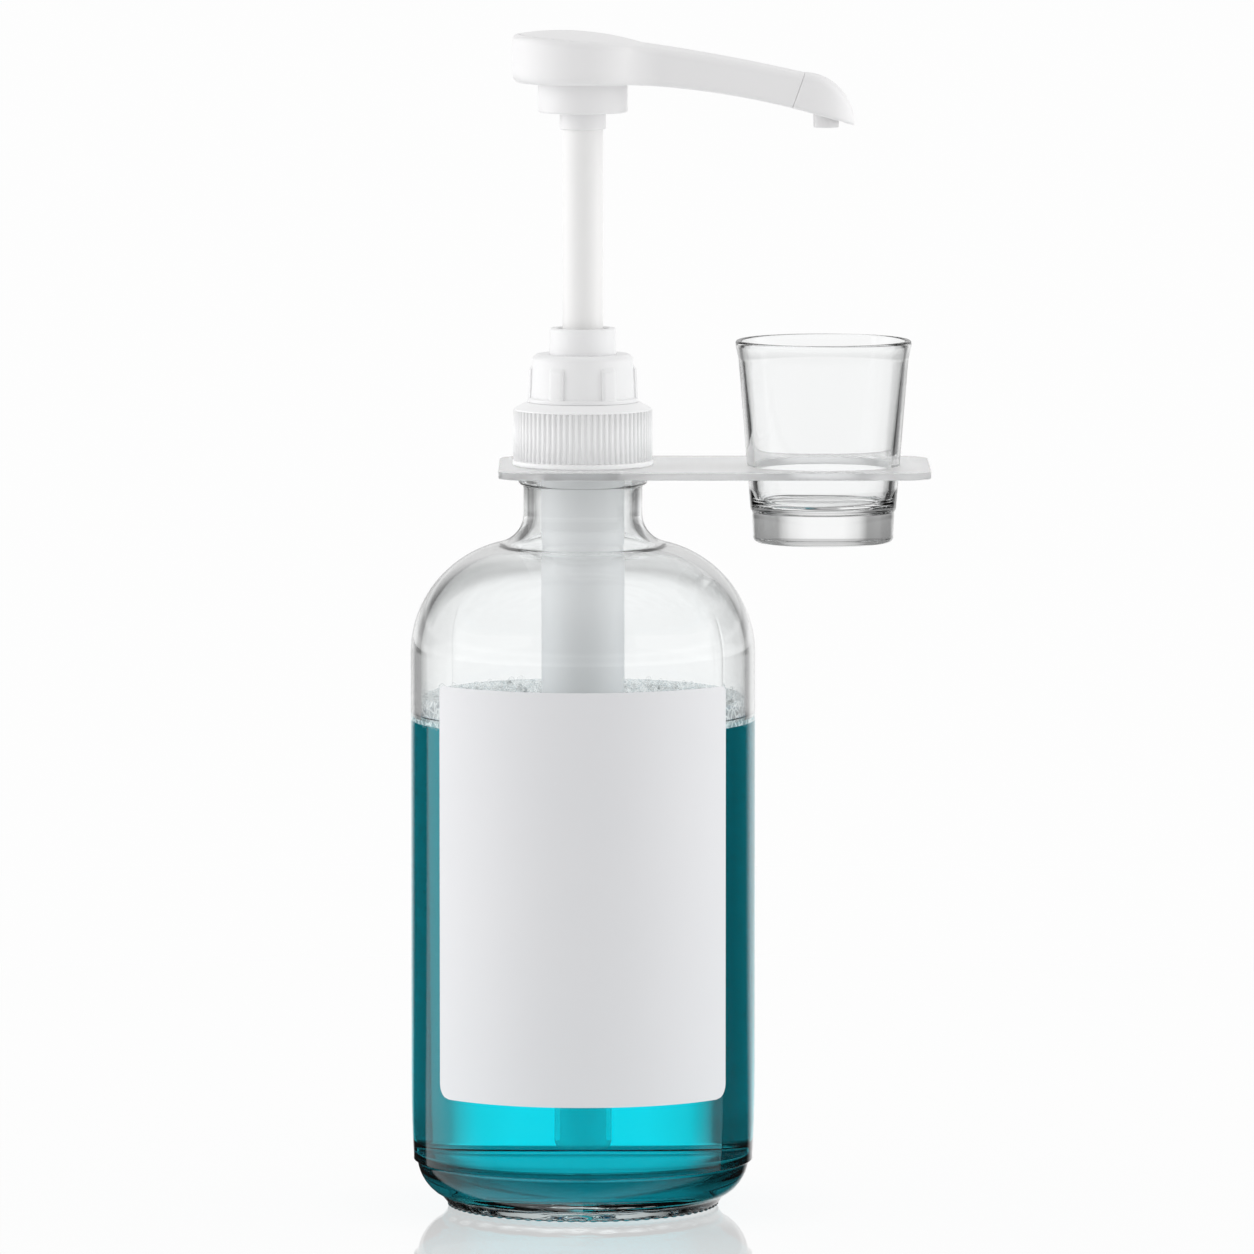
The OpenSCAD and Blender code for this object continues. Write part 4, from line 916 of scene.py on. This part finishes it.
def spout_section(x, sides=44):
    """Points round the spout at x: flat sides, well rounded above and a little below."""
    top, foot, half = spout_top(x), spout_under(x), max(0.05, spout_half(x))
    high, ring = max(0.05, (top - foot) / 2), []
    upper = min(2.6, half * 0.9, high * 0.9)
    lower = min(1.3, half * 0.9, high * 0.9)
    for y, z, r, start in ((half, high, upper, 0), (-half, high, upper, 90), (-half, -high, lower, 180),
                           (half, -high, lower, 270)):
        cy, cz = y - math.copysign(r, y), z - math.copysign(r, z)
        for k in range(sides // 4):
            a = math.radians(start + 90.0 * k / (sides // 4 - 1))
            ring.append((x, cy + r * math.cos(a), (top + foot) / 2 + cz + r * math.sin(a)))
    return ring


def melted(made, voxel, passes):
    """Joins overlapping solids into one skin and softens its inside corners, as in a moulding."""
    remesh = made.modifiers.new("skin", "REMESH")
    remesh.mode = "VOXEL"
    remesh.voxel_size = voxel * MM
    smooth = made.modifiers.new("soften", "SMOOTH")
    smooth.factor, smooth.iterations = 0.5, passes
    mesh = result_of(made)
    made.modifiers.clear()
    made.data = mesh


def cut_at_seam(mesh, keep_tip, gap):
    """Cuts a mesh at the leaning seam and closes the cut. keep_tip keeps the nozzle's side."""
    bm = bmesh.new()
    bm.from_mesh(mesh)
    way = Vector((math.cos(seam_lean), 0.0, -math.sin(seam_lean)))
    at = Vector((seam_x * MM, 0.0, spout_top(seam_x) * MM)) + way * (gap / 2 * MM * (1 if keep_tip else -1))
    bmesh.ops.bisect_plane(bm, geom=bm.verts[:] + bm.edges[:] + bm.faces[:], plane_co=at, plane_no=way,
                           clear_inner=keep_tip, clear_outer=not keep_tip)
    bmesh.ops.holes_fill(bm, edges=[e for e in bm.edges if e.is_boundary])
    bm.to_mesh(mesh)
    bm.free()


pad = turned("pump_pad", rounded([
    (0.0, pad_z), (pad_r, pad_z, 2.4), (pad_r, pad_top, 2.0), (17.15, pad_top, 0.2), (17.1, pad_top - 0.9, 0.2),
    (0.0, pad_top - 0.9)], steps=8), around=128)
middle = (pad_z + pad_top) / 2
for vertex in pad.data.vertices:
    if vertex.co.z > middle * MM:
        vertex.co.z -= vertex.co.x * pad_fall * min(1.0, (vertex.co.z / MM - middle) / 3.0)
rebuilt(pad.data, skinned("spout", [spout_section(4.0 + 58.0 * i / 58) for i in range(59)]), outwards=True)
melted(pad, 0.4, 8)
cut_at_seam(pad.data, False, 0.08)
hub = turned("hub", rounded([
    (5.58, ring_z, 0.2), (6.3, ring_z, 0.35), (6.3, hub_z, 0.3), (12.15, hub_z, 0.6), (12.15, pad_z + 0.4, 0.1),
    (5.58, pad_z + 0.4)], loop=True), loop=True, around=112)
rebuilt(pad.data, hub.data)
bpy.data.objects.remove(hub)
smoothed(pad.data)
head_plastic = moulded("head_polypropylene", (0.865, 0.86, 0.865), 0.36, 1500.0)
pad.data.materials.append(head_plastic)
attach(pad, "plunger")
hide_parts("pump_head")


# Head cap: a shallow white dome, snapped into the top of the pad.
dome_rise, dome_edge = 1.98, 17.0
dome_r = (dome_edge ** 2 + dome_rise ** 2) / 2 / dome_rise
dome = [(0.0, -0.7)] + rounded([(0.0, -0.7), (16.95, -0.7, 0.1), (dome_edge, 0.0, 0.35)], steps=4)[1:-1]
edge_deg = math.degrees(math.atan2(dome_r - dome_rise, dome_edge))
dome += [(16.98, -0.12)] + arc(0.0, dome_rise - dome_r, dome_r, edge_deg + 0.4, 90, 26)
cap = turned("dome_cap", [(r if r > 1e-4 else 0.0, z + pad_top) for r, z in dome], around=128)
for vertex in cap.data.vertices:
    vertex.co.z -= vertex.co.x * pad_fall
cap.data.materials.append(head_plastic)
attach(cap, "plunger")
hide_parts("head_cap")


# Spout tip: a separate white moulding pushed on the end of the spout, hollow below round
# the short nozzle.
tip_from, tip_steps = 56.0, 40
tip_mesh = skinned("tip", [
    spout_section(tip_from + (front_x - 0.02 - tip_from) * math.sin(math.pi / 2 * i / tip_steps))
    for i in range(tip_steps + 1)])
cut_at_seam(tip_mesh, True, 0.08)
tip = finished("spout_nose", tip_mesh)
pocket_at, pocket_size, pocket_corner = (66.6, 0.0, 297.0), (9.2, 10.6, 9.0), 2.2
pocket_mesh = bpy.data.meshes.new("pocket")
bm = bmesh.new()
bmesh.ops.create_cube(bm, size=1.0)
for vertex in bm.verts:
    vertex.co = [(at + c * size) * MM for at, c, size in zip(pocket_at, vertex.co, pocket_size)]
upright = [e for e in bm.edges if abs(e.verts[0].co.z - e.verts[1].co.z) > 0.001]
bmesh.ops.bevel(bm, geom=upright, offset=pocket_corner * MM, segments=5, affect="EDGES", profile=0.5)
bm.to_mesh(pocket_mesh)
bm.free()
pocket = placed("pocket", pocket_mesh)
carve = tip.modifiers.new("pocket", "BOOLEAN")
carve.object = pocket
carve.operation = "DIFFERENCE"
carve.solver = "EXACT"
tip.data = result_of(tip)
tip.modifiers.clear()
bpy.data.objects.remove(pocket)
spigot = turned("nozzle", rounded([(2.3, nozzle_z, 0.25), (3.45, nozzle_z, 0.35), (3.45, 302.6), (2.3, 302.6)],
                                  loop=True), loop=True, around=72, x=nozzle_x)
rebuilt(tip.data, spigot.data)
bpy.data.objects.remove(spigot)
smoothed(tip.data)
coat(tip, head_plastic)
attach(tip, "plunger")
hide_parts("spout_tip")
